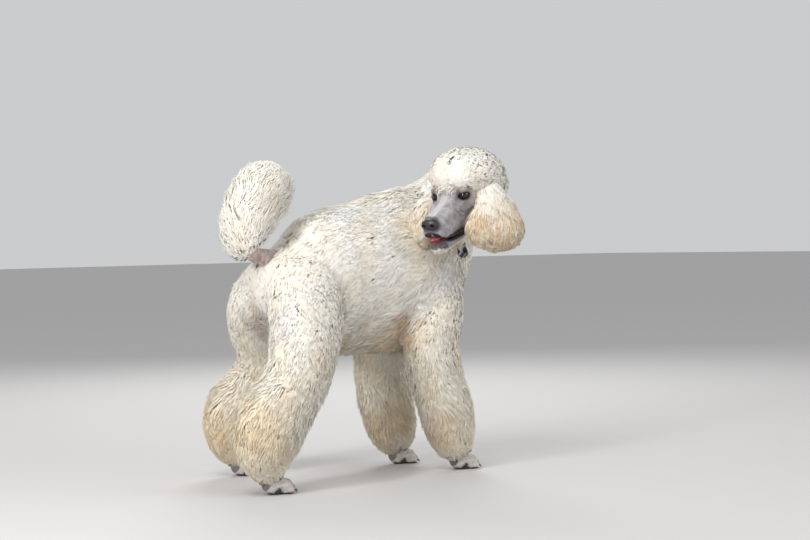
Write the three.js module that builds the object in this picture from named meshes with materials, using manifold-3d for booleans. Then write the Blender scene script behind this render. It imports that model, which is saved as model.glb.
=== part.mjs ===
// A standard poodle, life size, standing braced on four feet and looking back over its right shoulder.
// Millimetres. +X is the way the body faces, +Y its left side, +Z up, and the floor is z = 0.
import * as THREE from "three";
import { mergeVertices } from "three/addons/utils/BufferGeometryUtils.js";
import Module from "manifold-3d";

const wasm = await Module();
wasm.setup();

// The gap where two pieces meet, and how far below the surface a cut may simplify
const GAP = 0.3;
const SMOOTHING = 0.01;
const SHORT_FIRST = 0.0005;

// How many triangles each large piece keeps
const BODY_FACES = 4600;
const HEAD_FACES = 1080;
const EAR_FACES = 400;
const PLUME_FACES = 760;
const FOOT_FACES = 210;

// The coat is rounded clumps set close on the body and long flat locks on the ears and the tail. The core
// under them reaches this share of the way out to the tips, and each clump or lock has a width.
const CORE_SHARE = 0.45;
const CLUMP = { torso: 104, neck: 88, foreleg: 72, hindleg: 80, topknot: 58 };
const EAR_LOCKS = { rows: 3, round: 8, from: 0.7, stride: 1.3, reach: 2.1, wide: 40, thick: 18 };
const PLUME_LOCKS = { rows: 4, round: 9, from: 0.5, stride: 1.15, reach: 2, wide: 46, thick: 24 };

// The head: the point midway between the eyes, the way the face points, and how far it is tipped down
const FACE_AT = [-97, -193, 664];
const FACE_YAW = 201;
const FACE_PITCH = 22;
const EYE_RADIUS = 12.5;
const EYE_SET = [-7, 36.5, 0];
const GAZE = 24;

const vec = (x, y, z) => new THREE.Vector3(x, y, z);
const rad = (degrees) => (degrees * Math.PI) / 180;
const X = vec(1, 0, 0);
const Z = vec(0, 0, 1);
const union = (...list) => wasm.Manifold.union(list.flat(Infinity));

const level = vec(Math.cos(rad(FACE_YAW)), Math.sin(rad(FACE_YAW)), 0);
const faceLeft = Z.clone().cross(level);
const faceForward = level
  .clone()
  .multiplyScalar(Math.cos(rad(FACE_PITCH)))
  .addScaledVector(Z, -Math.sin(rad(FACE_PITCH)));
const faceUp = faceForward.clone().cross(faceLeft);

// A place on the head from distances forward, left and up of the point between the eyes.
const onHead = ([forward, left, up]) =>
  vec(...FACE_AT)
    .addScaledVector(faceForward, forward)
    .addScaledVector(faceLeft, left)
    .addScaledVector(faceUp, up);
// The same with the forward distance measured level and the height straight up, for what hangs from the head.
const aboutHead = ([forward, left, height]) =>
  vec(...FACE_AT)
    .addScaledVector(level, forward)
    .addScaledVector(faceLeft, left)
    .addScaledVector(Z, height);

// Value of a list of numbers at a place between two of them, on a smooth curve through all.
function curve(values, place) {
  const last = values.length - 1;
  const i = Math.min(Math.floor(place), last - 1);
  const f = place - i;
  const a = values[Math.max(i - 1, 0)];
  const b = values[i];
  const c = values[i + 1];
  const d = values[Math.min(i + 2, last)];
  return b + 0.5 * f * (c - a + f * (2 * a - 5 * b + 4 * c - d + f * (3 * (b - c) + d - a)));
}

// Closed solid from points and triangles, whichever way round they were listed.
function solid(points, faces) {
  const make = (list) =>
    new wasm.Manifold(
      new wasm.Mesh({ numProp: 3, vertProperties: new Float32Array(points), triVerts: new Uint32Array(list) }),
    );
  const made = make(faces);
  if (made.volume() > 0) return made;
  const turned = [];
  for (let i = 0; i < faces.length; i += 3) turned.push(faces[i], faces[i + 2], faces[i + 1]);
  return make(turned);
}

// Closed solid from a three.js shape.
function fromShape(geometry) {
  geometry.deleteAttribute("normal");
  geometry.deleteAttribute("uv");
  const merged = mergeVertices(geometry, 1e-4);
  return solid([...merged.attributes.position.array], [...merged.index.array]);
}

// The same solid with fewer triangles: the edges whose loss shows least are closed up first, pass by pass.
function thinned(shape, target) {
  const mesh = shape.getMesh();
  const at = [];
  for (let i = 0; i < mesh.vertProperties.length; i += 3) at.push(vec(...mesh.vertProperties.slice(i, i + 3)));
  let faces = [];
  for (let i = 0; i < mesh.triVerts.length; i += 3) faces.push([...mesh.triVerts.slice(i, i + 3)]);
  const normal = (a, b, c) => b.clone().sub(a).cross(c.clone().sub(a));
  const planes = at.map(() => []);
  for (const f of faces) {
    const n = normal(...f.map((v) => at[v])).normalize();
    const plane = [n, -n.dot(at[f[0]])];
    for (const v of f) planes[v].push(plane);
  }
  const error = (list, p) => list.reduce((sum, [n, d]) => sum + (n.dot(p) + d) ** 2, 0);
  while (faces.length > target) {
    const around = new Map();
    for (const f of faces) {
      for (const v of f) around.set(v, [...(around.get(v) ?? []), f]);
    }
    const edges = [];
    for (const f of faces) {
      for (let j = 0; j < 3; j++) {
        const [a, b] = [f[j], f[(j + 1) % 3]];
        if (a > b) continue;
        const both = [...planes[a], ...planes[b]];
        const spots = [at[a], at[b], at[a].clone().lerp(at[b], 0.5)];
        const costs = spots.map((p) => error(both, p) + SHORT_FIRST * at[a].distanceToSquared(at[b]));
        const least = costs.indexOf(Math.min(...costs));
        edges.push({ a, b, cost: costs[least], spot: spots[least] });
      }
    }
    edges.sort((e, f) => e.cost - f.cost);
    const touched = new Set();
    let left = faces.length;
    for (const { a, b, spot } of edges.slice(0, edges.length / 5)) {
      if (touched.has(a) || touched.has(b) || left <= target) continue;
      const ring = (v) => new Set(around.get(v).flat());
      const [near, far] = [ring(a), ring(b)];
      const shared = [...near].filter((v) => v !== a && v !== b && far.has(v));
      const flips = (v) =>
        around.get(v).some((f) => {
          if (f.includes(a) && f.includes(b)) return false;
          const before = normal(...f.map((k) => at[k]));
          const after = normal(...f.map((k) => (k === v ? spot : at[k])));
          return before.dot(after) < 0.3 * before.length() * after.length() || after.length() < 0.5;
        });
      if (shared.length !== 2 || [...near, ...far].some((v) => touched.has(v)) || flips(a) || flips(b)) continue;
      at[a] = spot.clone();
      planes[a] = [...planes[a], ...planes[b]];
      for (const f of around.get(b)) f[f.indexOf(b)] = a;
      for (const v of [...near, ...far]) touched.add(v);
      left -= 2;
    }
    if (touched.size === 0) break;
    faces = faces.filter((f) => new Set(f).size === 3);
  }
  const used = [...new Set(faces.flat())];
  const place = new Map(used.map((v, i) => [v, i]));
  return solid(used.flatMap((v) => at[v].toArray()), faces.flat().map((v) => place.get(v)));
}

// The same solid with every face moved out by at least the gap.
function grown(shape) {
  const mesh = shape.getMesh();
  const at = [];
  for (let i = 0; i < mesh.vertProperties.length; i += 3) at.push(vec(...mesh.vertProperties.slice(i, i + 3)));
  const normals = at.map(() => []);
  for (let i = 0; i < mesh.triVerts.length; i += 3) {
    const [a, b, c] = mesh.triVerts.slice(i, i + 3);
    const n = at[b].clone().sub(at[a]).cross(at[c].clone().sub(at[a])).normalize();
    for (const v of [a, b, c]) normals[v].push(n);
  }
  const moved = at.flatMap((p, v) => {
    const out = normals[v].reduce((sum, n) => sum.add(n), vec(0, 0, 0)).normalize();
    const least = Math.max(0.12, Math.min(...normals[v].map((n) => n.dot(out))));
    return p.clone().addScaledVector(out, GAP / least).toArray();
  });
  return solid(moved, [...mesh.triVerts]).add(shape);
}

// A limb is a bent tube. Each key holds a point of its centre line, the half sizes of the flesh there
// (side, upper, lower) and the length of the coat there in the same order. Its lower half is squarer
// where boxy is under 1.
class Limb {
  constructor(upward, keys, boxy = 1) {
    this.upward = upward;
    this.boxy = boxy;
    this.keys = keys;
    this.last = keys.length - 1;
  }
  row(column, n, place) {
    return curve(this.keys.map((k) => k[column][n]), place);
  }
  centre(place) {
    return vec(this.row(0, 0, place), this.row(0, 1, place), this.row(0, 2, place));
  }
  frame(place) {
    const step = 0.05;
    const near = Math.min(Math.max(place, 0), this.last);
    const ahead = this.centre(Math.min(near + step, this.last));
    const along = ahead.sub(this.centre(Math.max(near - step, 0))).normalize();
    const upper = this.upward.clone().addScaledVector(along, -this.upward.dot(along)).normalize();
    return { along, upper, side: along.clone().cross(upper) };
  }
  // A point of the surface at an angle round the limb, with a share of the coat and an extra thickness.
  point(place, angle, share = 0, extra = 0) {
    const { upper, side } = this.frame(place);
    const n = Math.sin(angle) > 0 ? 1 : 2;
    const across = this.row(1, 0, place) + share * this.row(2, 0, place) + extra;
    const over = this.row(1, n, place) + share * this.row(2, n, place) + extra;
    const round = n === 2 ? this.boxy : 1;
    const bent = (v) => Math.sign(v) * Math.abs(v) ** round;
    return this.centre(place)
      .addScaledVector(side, across * bent(Math.cos(angle)))
      .addScaledVector(upper, over * bent(Math.sin(angle)));
  }
  // Half sizes of the coat's outline, across and over the limb.
  size(place) {
    const of = (n) => this.row(1, n, place) + this.row(2, n, place);
    return { across: of(0), over: (of(1) + of(2)) / 2 };
  }
  // The closed limb: rings of points, drawn to a rounded end at both ends.
  body(rings, sides, share = 0, extra = 0) {
    const points = [];
    const faces = [];
    for (let i = 0; i <= rings; i++) {
      for (let j = 0; j < sides; j++) {
        const place = (this.last * i) / rings;
        points.push(...this.point(place, (2 * Math.PI * j) / sides, share, extra).toArray());
      }
    }
    const end = (place, sign) => {
      const across = this.row(1, 0, place) + share * this.row(2, 0, place);
      const tip = this.centre(place).addScaledVector(this.frame(place).along, sign * (0.35 * across + extra));
      points.push(...tip.toArray());
      return points.length / 3 - 1;
    };
    const back = end(0, -1);
    const front = end(this.last, 1);
    for (let j = 0; j < sides; j++) {
      const k = (j + 1) % sides;
      faces.push(back, k, j);
      faces.push(front, rings * sides + j, rings * sides + k);
      for (let i = 0; i < rings; i++) {
        const a = i * sides + j;
        const b = i * sides + k;
        faces.push(a, b, a + sides, b, b + sides, a + sides);
      }
    }
    return solid(points, faces);
  }
}

// A ball drawn out along three directions.
function ball(at, radii, axes = [X, vec(0, 1, 0), Z], detail = 10) {
  const shape = new THREE.SphereGeometry(1, detail + 4, detail);
  shape.rotateX(Math.PI / 2);
  const m = new THREE.Matrix4().makeBasis(
    axes[0].clone().multiplyScalar(radii[0]),
    axes[1].clone().multiplyScalar(radii[1]),
    axes[2].clone().multiplyScalar(radii[2]),
  );
  m.setPosition(at);
  shape.applyMatrix4(m);
  return fromShape(shape);
}
const headAxes = [faceForward, faceLeft, faceUp];

// A block with one corner of its long axis named by direction, used to part the body.
function block(at, size, along, upward) {
  const x = along.clone().normalize();
  const z = upward.clone().addScaledVector(x, -upward.dot(x)).normalize();
  const shape = new THREE.BoxGeometry(...size);
  shape.applyMatrix4(new THREE.Matrix4().makeBasis(x, z.clone().cross(x), z).setPosition(at));
  return fromShape(shape);
}

// The forms of the body
const torso = new Limb(Z, [
  [[-500, 0, 452], [40, 40, 52], [14, 14, 16]],
  [[-478, 0, 456], [72, 62, 78], [20, 16, 20]],
  [[-425, 0, 460], [98, 82, 92], [28, 23, 28]],
  [[-388, 0, 465], [96, 92, 102], [32, 34, 40]],
  [[-335, 0, 474], [94, 114, 122], [40, 48, 60]],
  [[-235, 0, 476], [94, 126, 134], [46, 56, 54]],
  [[-120, 0, 482], [98, 140, 146], [48, 66, 48]],
  [[-35, 0, 486], [88, 142, 146], [44, 68, 50]],
  [[18, 0, 480], [70, 114, 112], [36, 56, 44]],
  [[52, 0, 466], [46, 72, 70], [28, 42, 34]],
  [[68, 0, 458], [22, 36, 36], [18, 26, 22]],
]);
const neck = new Limb(vec(-0.5, 0.5, 0.6).normalize(), [
  [[-24, 0, 505], [70, 84, 78], [34, 54, 14]],
  [[6, -14, 575], [62, 74, 68], [36, 54, 9]],
  [[16, -58, 632], [54, 62, 58], [36, 48, 9]],
  [[6, -110, 668], [48, 54, 50], [30, 40, 10]],
  [[-18, -150, 688], [42, 44, 44], [20, 26, 8]],
]);
const skull = new Limb(faceUp, [
  [[-112, 0, 8], [18, 18, 24], [4, 4, 4]],
  [[-94, 0, 8], [36, 34, 48], [5, 6, 6]],
  [[-65, 0, 5], [46, 42, 68], [5, 6, 6]],
  [[-35, 0, 0], [50, 38, 84], [4, 4, 5]],
  [[-10, 0, -6], [48, 31, 88], [2, 2, 3]],
  [[14, 0, -15], [38, 22, 68], [1.5, 1, 2]],
  [[38, 0, -22], [32.5, 18, 56], [1.5, 1, 2]],
  [[68, 0, -28], [29, 16, 50], [1.5, 1, 2]],
  [[97, 0, -33], [26, 15, 37], [1.5, 1, 2]],
  [[112, 0, -36], [17, 13, 23], [1, 1, 1]],
].map(([at, flesh, coat]) => [onHead(at).toArray(), flesh, coat]), 0.7);
const topknot = new Limb(Z, [
  [[12, 2, 42], [22, 16, 16], [18, 20, 16]],
  [[-12, 5, 45], [42, 28, 26], [28, 32, 14]],
  [[-50, 8, 46], [56, 34, 42], [34, 38, 10]],
  [[-98, 9, 44], [60, 34, 64], [36, 40, 12]],
  [[-142, 8, 34], [54, 34, 60], [34, 36, 14]],
  [[-176, 5, 22], [38, 26, 42], [26, 24, 14]],
  [[-194, 3, 10], [18, 14, 20], [12, 10, 10]],
].map(([at, flesh, coat]) => [aboutHead(at).toArray(), flesh, coat]));
const jaw = new Limb(faceUp, [
  [[-30, 0, -84], [26, 12, 13], [3, 1, 2]],
  [[0, 0, -91], [26, 11, 13], [2, 1, 2]],
  [[30, 0, -94], [24, 11, 12], [1.5, 1, 2]],
  [[62, 0, -94], [21, 11, 12], [1.5, 1, 2]],
  [[92, 0, -91], [18, 11, 13], [1.5, 1, 2]],
  [[109, 0, -87], [13, 9, 10], [1, 1, 1.5]],
].map(([at, flesh, coat]) => [onHead(at).toArray(), flesh, coat]));
const tongue = new Limb(faceUp, [
  [[14, 0, -82], [11, 5, 5], [0, 0, 0]],
  [[45, 0, -80], [13, 5, 5], [0, 0, 0]],
  [[78, 0, -75], [14.5, 4.5, 5], [0, 0, 0]],
  [[102, 0, -70], [13, 4, 4.5], [0, 0, 0]],
  [[113, 0, -69], [7, 3, 3.5], [0, 0, 0]],
].map(([at, flesh, coat]) => [onHead(at).toArray(), flesh, coat]));

// An ear hangs from behind the eye and widens to a full, blunt end.
const ear = (hand, keys) =>
  new Limb(
    level.clone().multiplyScalar(0.7).addScaledVector(faceLeft, 0.7 * hand),
    keys.map(([at, flesh, coat]) => [aboutHead(at).toArray(), flesh, coat]),
  );
const ears = {
  ear_left: ear(1, [
    [[-58, 48, 22], [16, 6, 6], [6, 10, 6]],
    [[-60, 70, 4], [22, 6, 6], [10, 20, 12]],
    [[-51, 90, -26], [32, 6, 6], [24, 26, 18]],
    [[-42, 98, -62], [36, 6, 6], [38, 30, 22]],
    [[-38, 100, -98], [36, 5, 5], [39, 30, 24]],
    [[-36, 99, -124], [28, 4, 4], [28, 20, 18]],
  ]),
  ear_right: ear(-1, [
    [[-56, -48, 22], [16, 6, 6], [6, 10, 6]],
    [[-56, -68, 2], [22, 6, 6], [8, 16, 10]],
    [[-38, -82, -30], [28, 6, 6], [15, 32, 14]],
    [[-16, -86, -66], [32, 6, 6], [22, 38, 16]],
    [[-6, -85, -100], [30, 5, 5], [24, 36, 18]],
    [[0, -81, -126], [22, 4, 4], [18, 25, 14]],
  ]),
};

const forelegs = {
  right: new Limb(X, [
    [[-44, -62, 470], [34, 46, 46], [18, 18, 18]],
    [[-70, -86, 385], [38, 52, 52], [30, 30, 30]],
    [[-86, -98, 310], [28, 34, 38], [38, 36, 34]],
    [[-68, -100, 220], [22, 24, 26], [44, 44, 44]],
    [[-47, -101, 160], [20, 22, 24], [47, 47, 46]],
    [[-34, -102, 108], [19, 20, 22], [44, 44, 44]],
    [[-18, -102, 66], [19, 20, 22], [31, 30, 32]],
    [[-2, -102, 42], [20, 21, 22], [12, 10, 14]],
  ]),
  left: new Limb(X, [
    [[-60, 60, 470], [34, 46, 46], [18, 18, 18]],
    [[-84, 80, 385], [38, 52, 52], [30, 30, 30]],
    [[-98, 90, 305], [28, 34, 38], [38, 34, 32]],
    [[-92, 91, 210], [22, 24, 26], [44, 44, 44]],
    [[-77, 91, 145], [20, 22, 24], [49, 49, 48]],
    [[-64, 91, 96], [19, 20, 22], [45, 44, 44]],
    [[-52, 91, 64], [19, 20, 22], [33, 32, 34]],
    [[-42, 91, 42], [20, 21, 22], [13, 12, 14]],
  ]),
};
const hindlegs = {
  right: new Limb(X, [
    [[-420, -54, 470], [50, 60, 60], [18, 18, 18]],
    [[-450, -84, 422], [54, 74, 62], [24, 26, 20]],
    [[-468, -114, 370], [48, 62, 52], [28, 34, 30]],
    [[-486, -132, 314], [42, 46, 44], [32, 40, 36]],
    [[-508, -141, 262], [34, 36, 34], [38, 46, 42]],
    [[-538, -144, 214], [26, 28, 27], [46, 54, 52]],
    [[-572, -144, 168], [21, 24, 24], [52, 60, 66]],
    [[-588, -143, 124], [19, 20, 22], [53, 60, 66]],
    [[-594, -142, 84], [18, 19, 20], [43, 46, 52]],
    [[-588, -141, 54], [18, 19, 20], [24, 24, 24]],
    [[-580, -141, 38], [19, 20, 20], [10, 9, 11]],
  ]),
  left: new Limb(X, [
    [[-420, 54, 468], [50, 60, 60], [18, 18, 18]],
    [[-436, 92, 418], [56, 72, 66], [26, 26, 20]],
    [[-424, 132, 365], [48, 60, 54], [30, 32, 24]],
    [[-400, 154, 312], [42, 46, 42], [32, 36, 24]],
    [[-396, 168, 256], [34, 36, 34], [36, 42, 32]],
    [[-420, 175, 208], [26, 28, 27], [44, 50, 52]],
    [[-456, 180, 162], [21, 24, 24], [50, 56, 64]],
    [[-470, 183, 122], [19, 20, 22], [50, 56, 62]],
    [[-470, 185, 84], [18, 19, 20], [42, 44, 44]],
    [[-460, 186, 54], [18, 19, 20], [24, 24, 24]],
    [[-452, 187, 38], [19, 20, 20], [10, 9, 11]],
  ]),
};
const tailRoot = new Limb(Z, [
  [[-430, 0, 512], [24, 22, 24], [8, 8, 6]],
  [[-470, 0, 524], [20, 18, 19], [5, 4, 4]],
  [[-505, 0, 530], [16, 15, 15], [4, 4, 4]],
  [[-524, 0, 534], [14, 13, 13], [4, 4, 4]],
]);
const plume = new Limb(vec(-1, 0, 0.2).normalize(), [
  [[-528, 0, 536], [12, 12, 12], [12, 14, 16]],
  [[-542, 0, 556], [12, 12, 12], [42, 42, 44]],
  [[-542, 0, 592], [11, 11, 11], [54, 60, 56]],
  [[-523, 0, 640], [10, 10, 10], [57, 62, 62]],
  [[-497, 0, 684], [9, 9, 9], [60, 62, 70]],
  [[-476, 0, 722], [8, 8, 8], [46, 42, 52]],
  [[-468, 0, 738], [6, 6, 6], [20, 20, 18]],
]);

// Seeded numbers between -1 and 1, so that no two clumps are quite the same.
let seed = 20;
function vary() {
  seed = (seed * 16807) % 2147483647;
  return (2 * seed) / 2147483647 - 1;
}

// A tapered solid through rings of points, closed flat at the root and pointed or blunt at the tip.
function tapered(rings, tip) {
  const points = rings.flat().flatMap((p) => p.toArray());
  const faces = [];
  const sides = rings[0].length;
  const last = (rings.length - 1) * sides;
  points.push(...tip.toArray());
  for (let j = 0; j < sides; j++) {
    const k = (j + 1) % sides;
    if (j > 1) faces.push(0, j, j - 1);
    faces.push(rings.length * sides, last + j, last + k);
    for (let a = 0; a < last; a += sides) {
      faces.push(a + j, a + k, a + sides + j, a + k, a + sides + k, a + sides + j);
    }
  }
  return solid(points, faces);
}

// A rounded clump: rooted in the core of a limb and leaning down the lie of the coat.
function clump(limb, place, angle, width, lean) {
  const root = limb.point(place, angle, CORE_SHARE, -9);
  const tip = limb.point(place, angle, 1 + 0.05 * vary());
  const out = tip.clone().sub(root);
  const { along } = limb.frame(place);
  tip.addScaledVector(along, lean * out.length() * (0.5 + 0.25 * vary()));
  const rise = out.clone().normalize();
  const over = along.clone().addScaledVector(rise, -along.dot(rise)).normalize();
  const across = rise.clone().cross(over);
  const turn = Math.PI * vary();
  const rings = [[0, 0.8], [0.62, 1], [0.9, 0.6]].map(([h, w]) => {
    const middle = root.clone().lerp(tip, h);
    return [0, 1, 2, 3, 4].map((j) => {
      const a = turn + (2 * Math.PI * j) / 5;
      const r = 0.5 * width * w * (1 + 0.1 * vary());
      return middle
        .clone()
        .addScaledVector(over, 1.15 * r * Math.cos(a))
        .addScaledVector(across, r * Math.sin(a));
    });
  });
  return tapered(rings, tip);
}

// Places along a limb that lie a stride apart.
function strides(limb, from, to, stride) {
  const places = [from];
  const step = 0.02;
  let gone = 0;
  for (let place = from; place < to; place += step) {
    gone += limb.centre(place + step).distanceTo(limb.centre(place));
    if (gone < stride) continue;
    places.push(place);
    gone -= stride;
  }
  return places;
}

// Rows of clumps over a limb between two places, half a step aside from row to row.
function curls(limb, from, to, width, lean = 1, keep = () => true) {
  const made = [];
  for (const [row, place] of strides(limb, from, to, 0.94 * width).entries()) {
    const { across, over } = limb.size(place);
    const count = Math.max(5, Math.round((Math.PI * (across + over)) / (1.12 * width)));
    for (let j = 0; j < count; j++) {
      const angle = (2 * Math.PI * (j + 0.5 * (row % 2) + 0.18 * vary())) / count;
      if (!keep(limb.point(place, angle, 1))) continue;
      made.push(clump(limb, place, angle, width * (1 + 0.14 * vary()), lean));
    }
  }
  return made;
}

// A long flat lock that starts in the core and bends along the surface of a limb to the tip of the coat.
function lock(limb, place, angle, reach, width, thick) {
  const rings = [];
  const swing = 0.18 * vary();
  for (let i = 0; i < 4; i++) {
    const f = i / 4;
    const at = place + reach * f;
    const share = -0.1 + 1.0 * Math.sqrt(f);
    const turned = angle + swing * f;
    const middle = limb.point(at, turned, share);
    const beside = limb.point(at, turned + 0.1, share).sub(middle).normalize();
    const outward = limb.point(at, turned, share + 0.4).sub(middle).normalize();
    const w = 0.5 * width * (1 - 0.45 * f * f);
    const t = 0.5 * thick * (1 - 0.4 * f);
    rings.push([
      middle.clone().addScaledVector(beside, w),
      middle.clone().addScaledVector(outward, t),
      middle.clone().addScaledVector(beside, -w),
      middle.clone().addScaledVector(outward, -t),
    ]);
  }
  return tapered(rings, limb.point(Math.min(place + reach, limb.last + 0.35), angle + swing, 0.98));
}

// Rows of locks round a limb, half a step aside from row to row.
function locks(limb, { rows, round, from, stride, reach, wide, thick }) {
  const made = [];
  for (let row = 0; row < rows; row++) {
    for (let j = 0; j < round; j++) {
      const angle = (2 * Math.PI * (j + 0.5 * (row % 2))) / round + 0.11 * vary();
      made.push(lock(limb, from + stride * row, angle, reach * (1 + 0.1 * vary()), wide, thick));
    }
  }
  return made;
}

// The feet
const FOOT_HEIGHT = 42;
const TOES = [
  [16, 20, 14],
  [28, 7.5, 4],
  [28, -7.5, -4],
  [16, -20, -14],
];
function footPlace(at, yaw) {
  const forward = vec(Math.cos(rad(yaw)), Math.sin(rad(yaw)), 0);
  const left = Z.clone().cross(forward);
  return (f, l, u) => vec(...at).addScaledVector(forward, f).addScaledVector(left, l).addScaledVector(Z, u);
}
function foot(at, yaw) {
  const place = footPlace(at, yaw);
  const forward = vec(Math.cos(rad(yaw)), Math.sin(rad(yaw)), 0);
  const axes = [forward, Z.clone().cross(forward), Z];
  const parts = [ball(place(-5, 0, 20), [31, 27, 23], axes, 6), ball(place(-13, 0, 38), [22, 21, 17], axes, 4)];
  for (const [f, l, turn] of TOES) {
    const out = forward.clone().applyAxisAngle(Z, rad(turn));
    parts.push(ball(place(f, l, 12), [17, 9.5, 14.5], [out, Z.clone().cross(out), Z], 4));
  }
  const whole = thinned(union(parts), FOOT_FACES);
  return whole.intersect(block(vec(...at).setZ(FOOT_HEIGHT / 2), [200, 200, FOOT_HEIGHT], X, Z));
}
// A claw is a short bent cone, kept clear of the floor.
function claw(at, yaw, toe, extra = 0) {
  const [f, l, turn] = TOES[toe];
  const root = footPlace(at, yaw)(f, l, 13);
  const out = vec(1, 0, 0).applyAxisAngle(Z, rad(yaw + turn));
  const across = Z.clone().cross(out);
  const rings = [[9, 0, 3.4], [17, -0.5, 3], [21.5, -3, 2]].map(([d, u, r]) =>
    [0, 1, 2, 3, 4].map((j) => {
      const a = (2 * Math.PI * j) / 5;
      const middle = root.clone().addScaledVector(out, d - (d < 10 ? extra : 0)).addScaledVector(Z, u);
      const [up, aside] = [(r + extra) * Math.sin(a), 0.8 * (r + extra) * Math.cos(a)];
      return middle.addScaledVector(Z, up).addScaledVector(across, aside);
    }),
  );
  return tapered(rings, root.clone().addScaledVector(out, 25 + extra).addScaledVector(Z, -7));
}
const FEET = {
  forefoot_right: [[4, -102, 0], 0],
  forefoot_left: [[-36, 91, 0], 0],
  hindfoot_right: [[-570, -141, 0], 0],
  hindfoot_left: [[-442, 187, 0], 4],
};

// The face
const eyeAt = (hand) => onHead([EYE_SET[0], hand * EYE_SET[1], EYE_SET[2]]);
const eyeBall = (hand, extra = 0) => {
  const r = EYE_RADIUS + extra;
  return ball(eyeAt(hand), [r, r, r], headAxes, 8);
};
const gaze = (hand) =>
  faceForward
    .clone()
    .multiplyScalar(Math.cos(rad(GAZE)))
    .addScaledVector(faceLeft, hand * Math.sin(rad(GAZE)));

// The almond opening between the lids, widening outward from the eye.
function almond(hand) {
  const out = gaze(hand);
  const across = faceUp.clone().cross(out);
  const rings = [[3, 0.5], [30, 1.9]].map(([f, s]) =>
    [...Array(10).keys()].map((j) => {
      const a = (2 * Math.PI * j) / 10;
      return eyeAt(hand)
        .addScaledVector(out, f)
        .addScaledVector(across, 12 * s * Math.cos(a))
        .addScaledVector(faceUp, 7.6 * s * Math.sin(a) * (0.6 + 0.4 * Math.abs(Math.sin(a))));
    }),
  );
  return tapered(rings, eyeAt(hand).addScaledVector(out, 34));
}
const hollow = (hand) => ball(onHead([17, hand * 37, 2]), [18, 14, 13], headAxes, 5);
const lids = (hand) => ball(eyeAt(hand), [15.6, 15.6, 15.6], headAxes, 8);
const nose = (extra = 0) =>
  union(
    ball(onHead([112, 0, -27]), [12 + extra, 22 + extra, 14.5 + extra], headAxes, 7),
    ball(onHead([115, 0, -39]), [7 + extra, 9 + extra, 9 + extra], headAxes, 4),
  );
const nostril = (hand) => ball(onHead([123, hand * 11, -28]), [5, 5, 3.8], headAxes, 4);
const mouthRoof = new Limb(faceUp, [
  [[8, 0, -83], [26, 5, 20], [0, 0, 0]],
  [[38, 0, -77], [26, 9, 30], [0, 0, 0]],
  [[70, 0, -72], [22, 11, 30], [0, 0, 0]],
  [[106, 0, -64], [18, 10, 30], [0, 0, 0]],
].map(([at, flesh, coat]) => [onHead(at).toArray(), flesh, coat]));

// The collar hangs loose round the neck: its middle, the way down to the throat, its half sizes, its band.
const COLLAR_AT = [3, -66, 586];
const COLLAR_DOWN = vec(0.07, -0.65, -0.75).normalize();
const COLLAR_AXIS = vec(0.13, -0.74, 0.66);
const COLLAR_SIZE = { across: 55, down: 86 };
const COLLAR_BAND = { thick: 3, wide: 17 };
const COLLAR_SIDES = 20;
function collar(extra = 0) {
  const across = COLLAR_AXIS.clone().cross(COLLAR_DOWN).normalize();
  const axis = COLLAR_DOWN.clone().cross(across);
  const t = COLLAR_BAND.thick / 2 + extra;
  const h = COLLAR_BAND.wide / 2 + extra;
  const points = [];
  const faces = [];
  for (const [grow, rise] of [[-t, -h], [t, -h], [t, h], [-t, h]]) {
    for (let j = 0; j < COLLAR_SIDES; j++) {
      const a = (2 * Math.PI * j) / COLLAR_SIDES;
      const p = vec(...COLLAR_AT)
        .addScaledVector(across, (COLLAR_SIZE.across + grow) * Math.cos(a))
        .addScaledVector(COLLAR_DOWN, (COLLAR_SIZE.down + grow) * Math.sin(a));
      points.push(...p.addScaledVector(axis, rise).toArray());
    }
  }
  for (let i = 0; i < 4; i++) {
    for (let j = 0; j < COLLAR_SIDES; j++) {
      const k = (j + 1) % COLLAR_SIDES;
      const n = ((i + 1) % 4) * COLLAR_SIDES;
      faces.push(i * COLLAR_SIDES + j, i * COLLAR_SIDES + k, n + j);
      faces.push(i * COLLAR_SIDES + k, n + k, n + j);
    }
  }
  return solid(points, faces);
}

// The cuts that part the body
// A slab of room beyond a slanting face through a point, up to 900 deep.
const beyond = (at, outward, extra = 0) => {
  const middle = at.clone().addScaledVector(outward.clone().normalize(), 450 - extra);
  return block(middle, [900, 900, 900], outward, outward.z > 0.9 ? X : Z);
};
const between = (low, high, extra = 0) =>
  block(
    vec(...low).add(vec(...high)).multiplyScalar(0.5),
    high.map((v, i) => v - low[i] + 2 * extra),
    X,
    Z,
  );

// The room of one side of the body between two places along it, up to a height.
const half = (sign, back, front, high, extra) =>
  between([back, sign > 0 ? 1 : -600, 0], [front, sign > 0 ? 600 : -1, high], extra);

const footRoom = (extra) => between([-1000, -600, -300], [500, 600, FOOT_HEIGHT], extra);
const aboveFeet = (p) => p.z > 34;

const coated = [
  torso.body(18, 18, CORE_SHARE),
  neck.body(8, 14, CORE_SHARE),
  tailRoot.body(4, 10, 1),
  curls(torso, 0.4, 9.9, CLUMP.torso, -1),
  curls(neck, 0.6, 3.6, CLUMP.neck, -1),
];
for (const limb of Object.values(forelegs)) {
  coated.push(limb.body(11, 12, CORE_SHARE), curls(limb, 0.9, 6.2, CLUMP.foreleg, 1, aboveFeet));
}
for (const limb of Object.values(hindlegs)) {
  coated.push(limb.body(16, 12, CORE_SHARE), curls(limb, 0.4, 9.2, CLUMP.hindleg, 1, aboveFeet));
}
const body = thinned(union(coated), BODY_FACES);
const jawShape = (extra) => jaw.body(7, 10, 1, extra);

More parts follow.
